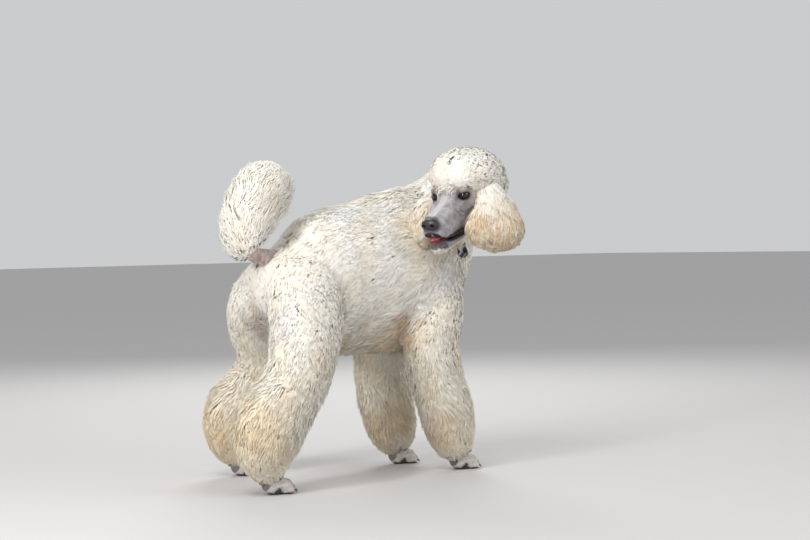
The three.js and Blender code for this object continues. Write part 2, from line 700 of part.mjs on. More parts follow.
const headForm = thinned(
  union(skull.body(16, 16, 1), topknot.body(9, 14, CORE_SHARE), curls(topknot, 0.35, 5.6, CLUMP.topknot, -1)),
  HEAD_FACES,
);
let head = headForm;
for (const hand of [-1, 1]) head = head.subtract(hollow(hand));
for (const hand of [-1, 1]) head = head.add(lids(hand));
for (const hand of [-1, 1]) head = head.subtract(eyeBall(hand, GAP)).subtract(almond(hand));
head = head.subtract(mouthRoof.body(5, 10)).subtract(nose(GAP)).subtract(jawShape(GAP));

const wholeEar = (limb) =>
  thinned(union(limb.body(9, 12, CORE_SHARE), locks(limb, EAR_LOCKS)), EAR_FACES);
const earLeft = wholeEar(ears.ear_left);
const earRight = wholeEar(ears.ear_right);
const parts = { head, torso: body };

// What lies beyond a face becomes a piece of its own, a thin gap away from the rest.
function part(from, name, room) {
  parts[name] = parts[from].intersect(room(0));
  parts[from] = parts[from].subtract(room(GAP));
}
const handed = [["right", -1], ["left", 1]];
const earRoom = union(grown(earLeft), grown(earRight));
parts.torso = parts.torso
  .subtract(union(grown(headForm), jawShape(GAP)))
  .subtract(earRoom)
  .subtract(collar(GAP))
  .subtract(footRoom(GAP));
parts.head = parts.head.subtract(earRoom);

for (const [hand, sign] of handed) {
  const shoulder = vec(0, sign * 0.72, -0.69);
  const hip = vec(-0.42, sign * 0.86, -0.3);
  part("torso", "foreleg_" + hand, (extra) =>
    beyond(vec(-80, sign * 84, 322), shoulder, extra).intersect(half(sign, -200, 90, 420, extra)),
  );
  part("torso", "thigh_" + hand, (extra) =>
    beyond(vec(-430, sign * 70, 400), hip, extra).intersect(half(sign, -900, -300, 520, extra)),
  );
  const limb = hindlegs[hand];
  part("thigh_" + hand, "shank_" + hand, (extra) => beyond(limb.centre(3.3), limb.frame(3.3).along, extra));
  part("shank_" + hand, "hock_" + hand, (extra) => beyond(limb.centre(6.1), limb.frame(6.1).along, extra));
}
part("torso", "tail_root", (extra) => between([-700, -40, 500], [-466, 40, 600], extra));
part("torso", "neck", (extra) => beyond(vec(2, 0, 552), vec(0.86, 0, 0.5), extra));
parts.tail_root = parts.tail_root.subtract(plume.body(11, 12, CORE_SHARE, GAP));
parts.tail_plume = thinned(union(plume.body(11, 12, CORE_SHARE), locks(plume, PLUME_LOCKS)), PLUME_FACES)
  .subtract(tailRoot.body(4, 10, 1, GAP));

for (const [name, [at, yaw]] of Object.entries(FEET)) {
  parts[name] = foot(at, yaw);
  TOES.forEach((toe, n) => {
    parts[name] = parts[name].subtract(claw(at, yaw, n, GAP));
    parts["claw_" + name + "_" + (n + 1)] = claw(at, yaw, n);
  });
}
parts.jaw = jawShape(0).subtract(tongue.body(6, 10, 0, GAP));
parts.tongue = tongue.body(6, 10);
parts.nose = nose().subtract(nostril(1)).subtract(nostril(-1));
parts.eye_left = eyeBall(1);
parts.eye_right = eyeBall(-1);
parts.ear_left = earLeft;
parts.ear_right = earRight;
parts.collar = collar();

// Colours and the finished group
const COLOURS = {
  claw: 0x1c1a1b,
  eye: 0x140d0a,
  nose: 0x232022,
  jaw: 0x8f8890,
  tongue: 0xb0525a,
  collar: 0x2b3140,
  ear: 0xe9cfa4,
};
const SKIN = 0xb9aeb0;
const COAT = 0xf1ead9;
const dog = new THREE.Group();
for (const [name, shape] of Object.entries(parts)) {
  const pieces = shape.simplify(SMOOTHING).decompose().sort((a, b) => b.volume() - a.volume());
  const m = pieces[0].getMesh();
  const g = new THREE.BufferGeometry();
  g.setAttribute("position", new THREE.BufferAttribute(new Float32Array(m.vertProperties), 3));
  g.setIndex(new THREE.BufferAttribute(new Uint32Array(m.triVerts), 1));
  const kind = Object.keys(COLOURS).find((k) => name.startsWith(k));
  const colour = kind ? COLOURS[kind] : name.includes("foot") ? SKIN : COAT;
  const made = new THREE.Mesh(g, new THREE.MeshStandardMaterial({ color: colour, roughness: 0.9, metalness: 0 }));
  made.name = name;
  dog.add(made);
}

// The origin is the middle of the footprint, on the floor.
const box = new THREE.Box3().setFromObject(dog);
dog.position.set(-(box.min.x + box.max.x) / 2, -(box.min.y + box.max.y) / 2, -box.min.z);

export default dog;
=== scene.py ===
# The looks of the standard poodle: one skin, its coat in tufts, the face, feet, eyes, claws and collar.
# The forms below are in millimetres in the maker's own frame: X the way the body faces, Y its left, Z up.
import math

import bpy
import numpy as np
import openvdb
from mathutils import Matrix, Vector, kdtree


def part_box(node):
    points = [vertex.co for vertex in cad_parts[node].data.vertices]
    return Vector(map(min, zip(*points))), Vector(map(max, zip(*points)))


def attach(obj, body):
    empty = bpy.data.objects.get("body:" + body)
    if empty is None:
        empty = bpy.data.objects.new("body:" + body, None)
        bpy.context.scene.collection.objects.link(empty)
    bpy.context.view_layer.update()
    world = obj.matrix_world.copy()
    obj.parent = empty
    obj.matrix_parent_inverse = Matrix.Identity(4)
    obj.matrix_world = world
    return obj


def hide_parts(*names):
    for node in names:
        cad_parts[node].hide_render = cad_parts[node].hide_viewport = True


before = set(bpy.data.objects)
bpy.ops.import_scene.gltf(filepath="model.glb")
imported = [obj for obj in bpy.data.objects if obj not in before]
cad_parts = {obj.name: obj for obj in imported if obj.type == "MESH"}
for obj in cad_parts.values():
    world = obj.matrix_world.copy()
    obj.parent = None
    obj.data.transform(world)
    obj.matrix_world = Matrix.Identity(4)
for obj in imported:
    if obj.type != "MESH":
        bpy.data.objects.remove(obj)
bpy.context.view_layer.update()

# The head: the point midway between the eyes, the way it faces and its tip down
FACE_AT = np.array([-97.0, -193.0, 664.0])
FACE_YAW = math.radians(201)
FACE_PITCH = math.radians(22)
EYE_RADIUS = 12.5
EYE_SET = (-7.0, 36.5, 0.0)
CORE_SHARE = 0.45

UP = np.array([0.0, 0.0, 1.0])
LEVEL = np.array([math.cos(FACE_YAW), math.sin(FACE_YAW), 0.0])
LEFT = np.cross(UP, LEVEL)
FORWARD = LEVEL * math.cos(FACE_PITCH) - UP * math.sin(FACE_PITCH)
CROWN = np.cross(FORWARD, LEFT)
HEAD_AXES = np.array([FORWARD, LEFT, CROWN])


def on_head(p):
    """Place from distances forward, left and up of the point between the eyes."""
    return FACE_AT + np.asarray(p, float) @ HEAD_AXES


def to_head(points):
    """Distances forward, left and up of the point between the eyes."""
    return (points - FACE_AT) @ HEAD_AXES.T


def about_head(p):
    """The same with the forward distance level and the height straight up."""
    return FACE_AT + LEVEL * p[0] + LEFT * p[1] + UP * p[2]


low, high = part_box("eye_left")
SHIFT = 500.0 * (np.array(low) + np.array(high)) - on_head(EYE_SET)


def unit(v):
    return v / np.maximum(np.linalg.norm(v, axis=-1, keepdims=True), 1e-9)


class Limb:
    """A bent tube: centre line, half sizes of the flesh (side, upper, lower) and length of the coat there."""

    def __init__(self, upward, keys, boxy=1.0):
        self.upward = np.asarray(upward, float)
        self.keys = np.array([[*at, *flesh, *coat] for at, flesh, coat in keys], float)
        self.last = len(keys) - 1
        self.boxy = boxy
        self.line = self.rows(np.linspace(0, self.last, 20 * self.last + 1))[:, :3]

    def rows(self, place):
        place = np.clip(np.asarray(place, float), 0, self.last)
        i = np.minimum(place.astype(int), self.last - 1)
        f = (place - i)[..., None]
        a = self.keys[np.maximum(i - 1, 0)]
        b = self.keys[i]
        c = self.keys[i + 1]
        d = self.keys[np.minimum(i + 2, self.last)]
        return b + 0.5 * f * (c - a + f * (2 * a - 5 * b + 4 * c - d + f * (3 * (b - c) + d - a)))

    def frame(self, place):
        ahead = self.rows(np.minimum(place + 0.05, self.last))[..., :3]
        behind = self.rows(np.maximum(place - 0.05, 0))[..., :3]
        along = unit(ahead - behind)
        upper = unit(self.upward - along * (along @ self.upward)[..., None])
        return along, upper, np.cross(along, upper)

    def points(self, place, angle, share):
        row = self.rows(place)
        _, upper, side = self.frame(place)
        s, c = np.sin(angle), np.cos(angle)
        low_side = s <= 0
        n = np.where(low_side, 5, 4)
        over = np.take_along_axis(row, n[..., None], -1)[..., 0]
        over = over + share * np.take_along_axis(row, (n + 3)[..., None], -1)[..., 0]
        across = row[..., 3] + share * row[..., 6]
        power = np.where(low_side, self.boxy, 1.0)
        s = np.sign(s) * np.abs(s) ** power
        c = np.sign(c) * np.abs(c) ** power
        return row[..., :3] + side * (across * c)[..., None] + upper * (over * s)[..., None]

    def tube(self, share, rings=90, sides=48, cap=0.35):
        """Points and triangles of the closed limb."""
        place = np.repeat(np.linspace(0, self.last, rings), sides)
        angle = np.tile(np.arange(sides) * 2 * math.pi / sides, rings)
        points = self.points(place, angle, share)
        row = self.rows(np.array([0.0, self.last]))
        along, _, _ = self.frame(np.array([0.0, float(self.last)]))
        reach = cap * (row[:, 3] + share * row[:, 6])[:, None]
        ends = row[:, :3] + along * reach * np.array([[-1.0], [1.0]])
        i, j = np.meshgrid(np.arange(rings - 1), np.arange(sides), indexing="ij")
        k = (j + 1) % sides
        a, b = i * sides + j, i * sides + k
        c, d = a + sides, b + sides
        walls = np.stack([a, b, d, a, d, c], -1).reshape(-1, 3)
        j = np.arange(sides)
        k = (j + 1) % sides
        rim = (rings - 1) * sides
        back = np.stack([np.full(sides, rings * sides), k, j], -1)
        front = np.stack([np.full(sides, rings * sides + 1), rim + j, rim + k], -1)
        return np.vstack([points, ends]), np.vstack([walls, back, front])


torso = Limb(UP, [
    ([-500, 0, 452], [40, 40, 52], [14, 14, 16]),
    ([-478, 0, 456], [72, 62, 78], [20, 16, 20]),
    ([-425, 0, 460], [98, 82, 92], [28, 23, 28]),
    ([-388, 0, 465], [96, 92, 102], [32, 34, 40]),
    ([-335, 0, 474], [94, 114, 122], [40, 48, 60]),
    ([-235, 0, 476], [94, 126, 134], [46, 56, 54]),
    ([-120, 0, 482], [98, 140, 146], [48, 66, 48]),
    ([-35, 0, 486], [88, 142, 146], [44, 68, 50]),
    ([18, 0, 480], [70, 114, 112], [36, 56, 44]),
    ([52, 0, 466], [46, 72, 70], [28, 42, 34]),
    ([68, 0, 458], [22, 36, 36], [18, 26, 22]),
])
neck = Limb(unit(np.array([-0.5, 0.5, 0.6])), [
    ([-24, 0, 505], [70, 84, 78], [34, 54, 14]),
    ([6, -14, 575], [62, 74, 68], [36, 54, 9]),
    ([16, -58, 632], [54, 62, 58], [36, 48, 9]),
    ([6, -110, 668], [48, 54, 50], [30, 40, 10]),
    ([-18, -150, 688], [42, 44, 44], [20, 26, 8]),
])
skull = Limb(CROWN, [(on_head(at), flesh, coat) for at, flesh, coat in [
    ([-112, 0, 8], [18, 18, 24], [4, 4, 4]),
    ([-94, 0, 8], [36, 34, 48], [5, 6, 6]),
    ([-65, 0, 5], [46, 42, 68], [5, 6, 6]),
    ([-35, 0, 0], [50, 38, 84], [4, 4, 5]),
    ([-10, 0, -6], [48, 31, 88], [2, 2, 3]),
    ([14, 0, -15], [38, 22, 68], [1.5, 1, 2]),
    ([38, 0, -22], [32.5, 18, 56], [1.5, 1, 2]),
    ([68, 0, -28], [29, 16, 50], [1.5, 1, 2]),
    ([97, 0, -33], [26, 15, 37], [1.5, 1, 2]),
    ([112, 0, -36], [17, 13, 23], [1, 1, 1]),
]], 0.7)
topknot = Limb(UP, [(about_head(at), flesh, coat) for at, flesh, coat in [
    ([12, 2, 42], [22, 16, 16], [18, 20, 16]),
    ([-12, 5, 45], [42, 28, 26], [28, 32, 14]),
    ([-50, 7, 46], [56, 34, 42], [31, 38, 10]),
    ([-98, 6, 44], [58, 34, 64], [31, 40, 12]),
    ([-142, 2, 34], [50, 34, 60], [26, 36, 14]),
    ([-176, 5, 22], [38, 26, 42], [26, 24, 14]),
    ([-194, 3, 10], [18, 14, 20], [12, 10, 10]),
]])
jaw = Limb(CROWN, [(on_head(at), flesh, coat) for at, flesh, coat in [
    ([-30, 0, -84], [26, 12, 13], [3, 1, 2]),
    ([0, 0, -91], [26, 11, 13], [2, 1, 2]),
    ([30, 0, -94], [24, 11, 12], [1.5, 1, 2]),
    ([62, 0, -94], [21, 11, 12], [1.5, 1, 2]),
    ([92, 0, -91], [18, 11, 13], [1.5, 1, 2]),
    ([109, 0, -87], [13, 9, 10], [1, 1, 1.5]),
]])


def ear(hand, keys):
    """An ear hangs from behind the eye and widens to a full, blunt end."""
    return Limb(LEVEL * 0.7 + LEFT * 0.7 * hand, [(about_head(at), flesh, coat) for at, flesh, coat in keys])


ears = {
    "left": ear(1, [
        ([-60, 48, 28], [20, 8, 8], [16, 24, 14]),
        ([-60, 69, 6], [22, 6, 6], [15, 25, 14]),
        ([-51, 90, -26], [32, 6, 6], [24, 26, 18]),
        ([-42, 98, -62], [36, 6, 6], [38, 30, 22]),
        ([-38, 100, -98], [36, 5, 5], [39, 30, 24]),
        ([-36, 99, -124], [28, 4, 4], [28, 20, 18]),
    ]),
    "right": ear(-1, [
        ([-56, -48, 22], [16, 6, 6], [8, 14, 8]),
        ([-56, -68, 2], [22, 6, 6], [8, 16, 10]),
        ([-38, -82, -30], [28, 6, 6], [15, 32, 14]),
        ([-16, -86, -66], [32, 6, 6], [22, 38, 16]),
        ([-6, -85, -100], [30, 5, 5], [24, 36, 18]),
        ([0, -81, -126], [22, 4, 4], [18, 25, 14]),
    ]),
}
forelegs = {
    "right": Limb([1, 0, 0], [
        ([-44, -62, 470], [34, 46, 46], [18, 18, 18]),
        ([-70, -86, 385], [38, 52, 52], [30, 30, 30]),
        ([-86, -98, 310], [28, 34, 38], [38, 36, 34]),
        ([-68, -100, 220], [22, 24, 26], [44, 44, 44]),
        ([-47, -101, 160], [20, 22, 24], [47, 47, 46]),
        ([-34, -102, 108], [19, 20, 22], [44, 44, 44]),
        ([-18, -102, 66], [19, 20, 22], [31, 30, 32]),
        ([-2, -102, 42], [20, 21, 22], [12, 10, 14]),
    ]),
    "left": Limb([1, 0, 0], [
        ([-60, 60, 470], [34, 46, 46], [18, 18, 18]),
        ([-84, 80, 385], [38, 52, 52], [30, 30, 30]),
        ([-98, 90, 305], [28, 34, 38], [38, 34, 32]),
        ([-92, 91, 210], [22, 24, 26], [44, 44, 44]),
        ([-77, 91, 145], [20, 22, 24], [49, 49, 48]),
        ([-64, 91, 96], [19, 20, 22], [45, 44, 44]),
        ([-52, 91, 64], [19, 20, 22], [33, 32, 34]),
        ([-42, 91, 42], [20, 21, 22], [13, 12, 14]),
    ]),
}
hindlegs = {
    "right": Limb([1, 0, 0], [
        ([-420, -54, 470], [50, 60, 60], [18, 18, 18]),
        ([-450, -84, 422], [54, 74, 62], [24, 26, 20]),
        ([-468, -114, 370], [48, 62, 52], [28, 34, 30]),
        ([-486, -132, 314], [42, 46, 44], [32, 40, 36]),
        ([-508, -141, 262], [34, 36, 34], [38, 46, 42]),
        ([-538, -144, 214], [26, 28, 27], [46, 54, 52]),
        ([-572, -144, 168], [21, 24, 24], [52, 60, 66]),
        ([-588, -143, 124], [19, 20, 22], [53, 60, 66]),
        ([-594, -142, 84], [18, 19, 20], [43, 46, 52]),
        ([-588, -141, 54], [18, 19, 20], [24, 24, 24]),
        ([-580, -141, 38], [19, 20, 20], [10, 9, 11]),
    ]),
    "left": Limb([1, 0, 0], [
        ([-420, 54, 468], [50, 60, 60], [18, 18, 18]),
        ([-436, 92, 418], [56, 72, 66], [26, 26, 20]),
        ([-424, 132, 365], [48, 60, 54], [30, 32, 24]),
        ([-400, 154, 312], [42, 46, 42], [32, 36, 24]),
        ([-396, 168, 256], [34, 36, 34], [36, 42, 32]),
        ([-420, 175, 208], [26, 28, 27], [44, 50, 52]),
        ([-456, 180, 162], [21, 24, 24], [50, 56, 64]),
        ([-470, 183, 122], [19, 20, 22], [50, 56, 62]),
        ([-470, 185, 84], [18, 19, 20], [42, 44, 44]),
        ([-460, 186, 54], [18, 19, 20], [24, 24, 24]),
        ([-452, 187, 38], [19, 20, 20], [10, 9, 11]),
    ]),
}
tail_root = Limb(UP, [
    ([-430, 0, 512], [24, 22, 24], [8, 8, 6]),
    ([-470, 0, 524], [20, 18, 19], [5, 4, 4]),
    ([-505, 0, 530], [16, 15, 15], [4, 4, 4]),
    ([-524, 0, 534], [14, 13, 13], [4, 4, 4]),
    ([-538, 0, 548], [12, 12, 12], [4, 4, 4]),
])
plume = Limb(unit(np.array([-1, 0, 0.2])), [
    ([-528, 0, 536], [12, 12, 12], [12, 14, 16]),
    ([-542, 0, 556], [12, 12, 12], [42, 42, 44]),
    ([-542, 0, 592], [11, 11, 11], [54, 60, 56]),
    ([-523, 0, 640], [10, 10, 10], [57, 62, 62]),
    ([-497, 0, 684], [9, 9, 9], [60, 62, 70]),
    ([-476, 0, 722], [8, 8, 8], [46, 42, 52]),
    ([-468, 0, 738], [6, 6, 6], [20, 20, 18]),
])

FEET = {
    "forefoot_right": ([4, -102, 0], 0),
    "forefoot_left": ([-36, 91, 0], 0),
    "hindfoot_right": ([-570, -141, 0], 0),
    "hindfoot_left": ([-442, 187, 0], 4),
}
TOES = [(16, 20, 14), (28, 7.5, 4), (28, -7.5, -4), (16, -20, -14)]


class Field:
    """Signed distances to a surface on a grid, in millimetres, negative inside."""

    def __init__(self, lowest, highest, step):
        self.step = step
        self.start = np.floor(np.asarray(lowest) / step).astype(int)
        self.shape = tuple(np.ceil(np.asarray(highest) / step).astype(int) - self.start + 1)
        self.values = None

    def grid_points(self):
        axes = [(self.start[i] + np.arange(self.shape[i])) * self.step for i in range(3)]
        return np.meshgrid(*axes, indexing="ij")

    def of_tube(self, points, faces, band=12):
        grid = openvdb.FloatGrid.createLevelSetFromPolygons(
            points.astype(np.float32),
            triangles=faces.astype(np.uint32),
            transform=openvdb.createLinearTransform(voxelSize=self.step),
            halfWidth=float(band),
        )
        out = np.full(self.shape, band * self.step, np.float32)
        grid.copyToArray(out, ijk=tuple(int(i) for i in self.start))
        return out

    def sample(self, points):
        g = points / self.step - self.start
        g = np.clip(g, 0, np.array(self.shape) - 1.001)
        i = g.astype(int)
        f = g - i
        total = 0
        for dx in (0, 1):
            for dy in (0, 1):
                for dz in (0, 1):
                    w = np.abs(1 - dx - f[:, 0]) * np.abs(1 - dy - f[:, 1]) * np.abs(1 - dz - f[:, 2])
                    total = total + w * self.values[i[:, 0] + dx, i[:, 1] + dy, i[:, 2] + dz]
        return total

    def slope(self, points):
        h = self.step
        return unit(np.stack([
            self.sample(points + np.eye(3)[i] * h) - self.sample(points - np.eye(3)[i] * h) for i in range(3)
        ], -1))

    def surface(self):
        """Points and four-sided faces of the zero surface, faces outward."""
        grid = openvdb.FloatGrid(float(self.values.max()))
        grid.transform = openvdb.createLinearTransform(voxelSize=self.step)
        grid.copyFromArray(self.values.astype(np.float32), ijk=tuple(int(i) for i in self.start))
        points, quads = grid.convertToQuads(isovalue=0.0)
        points = np.array(points, float)
        quads = np.array(quads, int)
        a, b, c, d = (points[quads[:, i]] for i in range(4))
        normal = np.cross(c - a, d - b)
        if (normal * a).sum() < 0:
            quads = quads[:, ::-1]
        return points, quads


def melt(a, b, k):
    """Two distances joined with a soft fillet of about k."""
    h = np.clip(0.5 + 0.5 * (b - a) / k, 0, 1)
    return b + (a - b) * h - k * h * (1 - h)


def carve(a, b, k):
    """The first less the second, with a soft edge of about k."""
    return -melt(-a, b, k)


def bean(grid, at, radii, axes=np.eye(3)):
    """Rough distance to an ellipsoid on a grid of places."""
    x, y, z = (g - c for g, c in zip(grid, at))
    local = [x * ax[0] + y * ax[1] + z * ax[2] for ax in axes]
    k0 = np.sqrt(sum((v / r) ** 2 for v, r in zip(local, radii)))
    k1 = np.sqrt(sum((v / r**2) ** 2 for v, r in zip(local, radii)))
    return k0 * (k0 - 1) / np.maximum(k1, 1e-6)


def rod(grid, a, b, ra, rb):
    """Distance to a round bar that tapers from one end to the other."""
    a, b = np.asarray(a, float), np.asarray(b, float)
    d = b - a
    x, y, z = (g - c for g, c in zip(grid, a))
    t = np.clip((x * d[0] + y * d[1] + z * d[2]) / (d @ d), 0, 1)
    return np.sqrt((x - t * d[0]) ** 2 + (y - t * d[1]) ** 2 + (z - t * d[2]) ** 2) - (ra + (rb - ra) * t)


# Soft waves from a few crossed sines stand for noise on points
def waves(points, size, seed):
    rng = np.random.default_rng(seed)
    total = np.zeros(len(points))
    for _ in range(7):
        way = unit(rng.normal(size=3)) * rng.uniform(0.6, 1.5) * 2 * math.pi / size
        total += np.sin(points @ way + rng.uniform(0, 6.28))
    return total / 2.6


def wave_vectors(points, size, seed):
    return np.stack([waves(points, size, seed + i) for i in range(3)], -1)


def smoothstep(low_edge, high_edge, v):
    t = np.clip((v - low_edge) / (high_edge - low_edge), 0, 1)
    return t * t * (3 - 2 * t)


# Markings, and one patch of painted shade between the hind legs: a colour, the middle and half sizes of its
# patch, and how strong it is there
IVORY = np.array([0.80, 0.73, 0.60])
SNOW = np.array([0.84, 0.80, 0.72])
CREAM = np.array([0.80, 0.74, 0.64])
APRICOT = np.array([0.70, 0.46, 0.21])
MARKS_AND_SHADE = [
    ([0.52, 0.32, 0.19], (-178, -106, 346), (42, 48, 46), 0.85),
    ([0.64, 0.47, 0.30], (-148, -56, 316), (56, 64, 28), 0.50),
    ([0.60, 0.45, 0.29], (-100, 62, 104), (54, 66, 66), 0.62),
    ([0.10, 0.08, 0.07], (-124, 57, 103), (8, 9, 10), 0.85),
    ([0.62, 0.48, 0.32], (-78, -128, 108), (48, 46, 50), 0.52),
    ([0.78, 0.60, 0.36], (-640, -168, 150), (66, 80, 66), 0.55),
    ([0.72, 0.56, 0.36], (-610, -190, 92), (60, 60, 50), 0.40),
    ([0.72, 0.54, 0.32], (-520, 205, 108), (74, 80, 80), 0.66),
    ([0.78, 0.66, 0.48], (-240, -80, 330), (190, 80, 46), 0.45),
    # Partly the grey skin that shows between the hind legs, partly painted shade there
    ([0.34, 0.28, 0.27], (-500, 32, 362), (56, 56, 66), 0.62),
    ([0.66, 0.64, 0.64], (-520, -108, 366), (46, 60, 44), 0.40),
    ([0.84, 0.68, 0.45], (-120, -110, 560), (70, 66, 100), 0.42),
    ([0.50, 0.32, 0.22], (-12, -122, 548), (22, 26, 20), 0.60),
    ([0.07, 0.055, 0.05], (-538, -40, 488), (8, 12, 8), 0.85),
]


def laid(colour, tone, amount):
    """A colour with another laid over it by an amount at each point."""
    amount = amount[:, None]
    return colour * (1 - amount) + np.asarray(tone) * amount


def coat_tint(points):
    """Colour of the coat over the body, without the ears."""
    colour = laid(IVORY, SNOW, smoothstep(150, 520, points[:, 2]))
    for tone, at, size, amount in MARKS_AND_SHADE:
        d = np.linalg.norm((points - np.array(at)) / np.array(size), axis=1)
        if min(size) > 15:
            d += 0.22 * waves(points, 44, 11)
        colour = laid(colour, tone, amount * (1 - smoothstep(0.45, 1.35, d)))
    patchy = 0.03 * waves(points, 90, 3)[:, None]
    return colour * (1 + patchy * np.array([0.3, 1.0, 2.0]))


def ear_tint(points):
    """Cream with apricot streaks, deepest along the middle and the lower ends."""
    drop = (FACE_AT[2] - 10 - points[:, 2]) / 120.0
    streak = 0.5 + 0.5 * waves(points * np.array([1, 1, 0.16]), 10, 29)
    gold = smoothstep(-0.1, 0.75, drop) * (0.30 + 0.85 * streak)
    cream = laid(SNOW, CREAM, smoothstep(-0.25, 0.45, drop))
    return laid(cream, APRICOT, 0.66 * np.clip(gold, 0, 1))


# The lower edge of the upper lip: distances forward and heights, in the head's own directions
LIP_FORWARD = (0, 30, 63, 86, 108, 118)
LIP_HEIGHT = (-84.5, -82, -78, -72, -60.5, -47)


def lip_line(f):
    return np.interp(f, LIP_FORWARD, LIP_HEIGHT)


def lip_band(f):
    """How far the black of the lips reaches above their edge."""
    return np.interp(f, (0, 30, 43, 76, 92), (8.0, 9.5, 9.5, 7.0, 0.8))


def patch_at(h, at, size, low_edge=0.5, high_edge=1.3):
    """One in the middle of a patch of the face, fading to nothing past its edge; the same on both sides."""
    both = np.stack([h[:, 0], np.abs(h[:, 1]), h[:, 2]], -1)
    d = np.linalg.norm((both - np.array(at)) / np.array(size), axis=1)
    return 1 - smoothstep(low_edge, high_edge, d)


def face_tint(points):
    """Grey lilac shaved face: pale bridge, tan stain by the eyes, painted shade under the hairline and along
    the cheek fold, black rims, lips and chin.
    """
    h = to_head(points)
    f, l, u = h[:, 0], h[:, 1], h[:, 2]
    colour = np.tile(np.array([0.30, 0.275, 0.29]), (len(points), 1))

    def lay(tone, m):
        nonlocal colour
        colour = laid(colour, tone, np.clip(m, 0, 1))

    lay([0.49, 0.46, 0.48], 0.42 + 0.30 * waves(points, 24, 8) + 0.16 * waves(points, 9, 5))
    lay([0.17, 0.15, 0.165], smoothstep(0.55, 1.1, waves(points, 4.4, 17)) * smoothstep(10, 30, f) * 0.6)
    lay([0.62, 0.60, 0.60], (1 - smoothstep(5, 14, np.abs(l))) * smoothstep(-8, 10, u + 0.30 * f) * 0.7)
    lay([0.50, 0.44, 0.38], smoothstep(0, -30, f) * 0.8)
    lay([0.22, 0.19, 0.19], patch_at(h, (0, 40, -8), (30, 20, 28), 0.3, 1.2) * 0.6)
    lay([0.52, 0.46, 0.41], smoothstep(24, 0, f) * smoothstep(-40, -60, u) * 0.7)
    # Painted shade under the overhanging edge of the topknot: a tan-grey band below the hairline
    lay([0.34, 0.29, 0.25], smoothstep(12, 22, u) * smoothstep(34, 10, f) * 0.85)
    along = np.clip(((f - 42) * -30 + (u + 7) * -37) / 2269.0, 0, 1)
    crease = np.hypot(f - 42 + 30 * along, u + 7 + 37 * along) + 90 * (np.abs(l) < 14)
    shadow = np.hypot(f - 38 + 30 * along, u + 11 + 37 * along)
    lay([0.16, 0.14, 0.15], (1 - smoothstep(1.5, 5.0, shadow)) * 0.35)
    broken = smoothstep(0.1, 0.5, along + 0.2 * waves(points, 8, 4))
    lay([0.66, 0.65, 0.66], (1 - smoothstep(0.5, 3.6, crease)) * 0.32 * broken)
    lay([0.23, 0.20, 0.21], patch_at(h, (26, 31, -12), (15, 9, 8), 0.2, 1.3) * 0.55)
    lay([0.22, 0.19, 0.20], patch_at(h, (4, 42, -13), (20, 9, 6), 0.2, 1.3) * 0.45)
    lay([0.13, 0.085, 0.065], patch_at(h, (8, 33, 16), (12, 8, 6), 0.2, 1.2) * 0.8)
    lids = (EYE_SET[0] + 6, EYE_SET[1] + 3, 0)
    lay([0.20, 0.17, 0.17], patch_at(h, lids, (17, 17, 12), 0.8, 1.5) * 0.8)
    lay([0.022, 0.018, 0.02], patch_at(h, lids, (14.8, 14.8, 10.6), 0.98, 1.14))
    lay([0.05, 0.04, 0.045], patch_at(h, (17, 27, -5), (7, 5, 3.5), 0.2, 1.2) * 0.4)
    lay([0.10, 0.09, 0.10], patch_at(h, (113, 0, -27), (17, 28, 21), 0.85, 1.35) * 0.9)
    lay([0.10, 0.09, 0.10], patch_at(h, (120, 0, -43), (10, 6, 8), 0.5, 1.3) * 0.6)
    lip = lip_line(f)
    reach = smoothstep(2, 14, f)
    below = np.interp(f, (0, 17, 47, 80, 92, 104), (6, 9, 11.5, 11, 6, 2))
    under = smoothstep(-1.0, 1.0, u - lip + below) * smoothstep(1.0, -1.0, u - lip - lip_band(f))
    lay([0.03, 0.026, 0.03], under * reach)
    chin = smoothstep(76, 90, f) * smoothstep(-70, -76, u)
    lay([0.085, 0.075, 0.08], chin * (0.97 - 0.6 * smoothstep(0.4, 1.0, waves(points, 4.5, 19))))
    edge = np.interp(f, (0, 30, 62, 92, 109), (-97, -100, -101, -97, -90))
    lay([0.70, 0.67, 0.64], smoothstep(2, -2, u - edge + 1.2 * waves(points, 7, 15)) * 0.9)
    inside = np.linalg.norm((h - np.array([66, 0, -77])) / np.array([54, 17, 8]), axis=1)
    lay([0.20, 0.05, 0.055], smoothstep(1.04, 1.0, inside))
    return colour


# Mesh making
def mesh_object(name, sheet, points, quads=None, triangles=None):
    """A mesh object in its material, from places in millimetres of the maker's frame."""
    mesh = bpy.data.meshes.new(name)
    quads = np.zeros((0, 4), int) if quads is None else quads
    triangles = np.zeros((0, 3), int) if triangles is None else triangles
    mesh.vertices.add(len(points))
    mesh.vertices.foreach_set("co", ((points + SHIFT) * 0.001).astype(np.float32).ravel())
    loops = np.concatenate([quads.ravel(), triangles.ravel()]).astype(np.int32)
    mesh.loops.add(len(loops))
    mesh.loops.foreach_set("vertex_index", loops)
    starts = np.concatenate([np.arange(len(quads)) * 4, len(quads) * 4 + np.arange(len(triangles)) * 3])
    mesh.polygons.add(len(quads) + len(triangles))
    mesh.polygons.foreach_set("loop_start", starts.astype(np.int32))
    mesh.update(calc_edges=True)
    mesh.validate()
    mesh.polygons.foreach_set("use_smooth", np.full(len(mesh.polygons), True))
    mesh.materials.append(sheet)
    obj = bpy.data.objects.new(name, mesh)
    bpy.context.scene.collection.objects.link(obj)
    return obj


def paint(obj, name, colours):
    layer = obj.data.color_attributes.new(name, "FLOAT_COLOR", "POINT")
    data = np.ones((len(obj.data.vertices), 4), np.float32)
    data[:, :3] = np.clip(colours, 0, 1)
    layer.data.foreach_set("color", data.ravel())


# Materials
def material(name):
    made = bpy.data.materials.new(name)
    made.use_nodes = True
    tree = made.node_tree
    return made, tree, tree.nodes["Principled BSDF"]


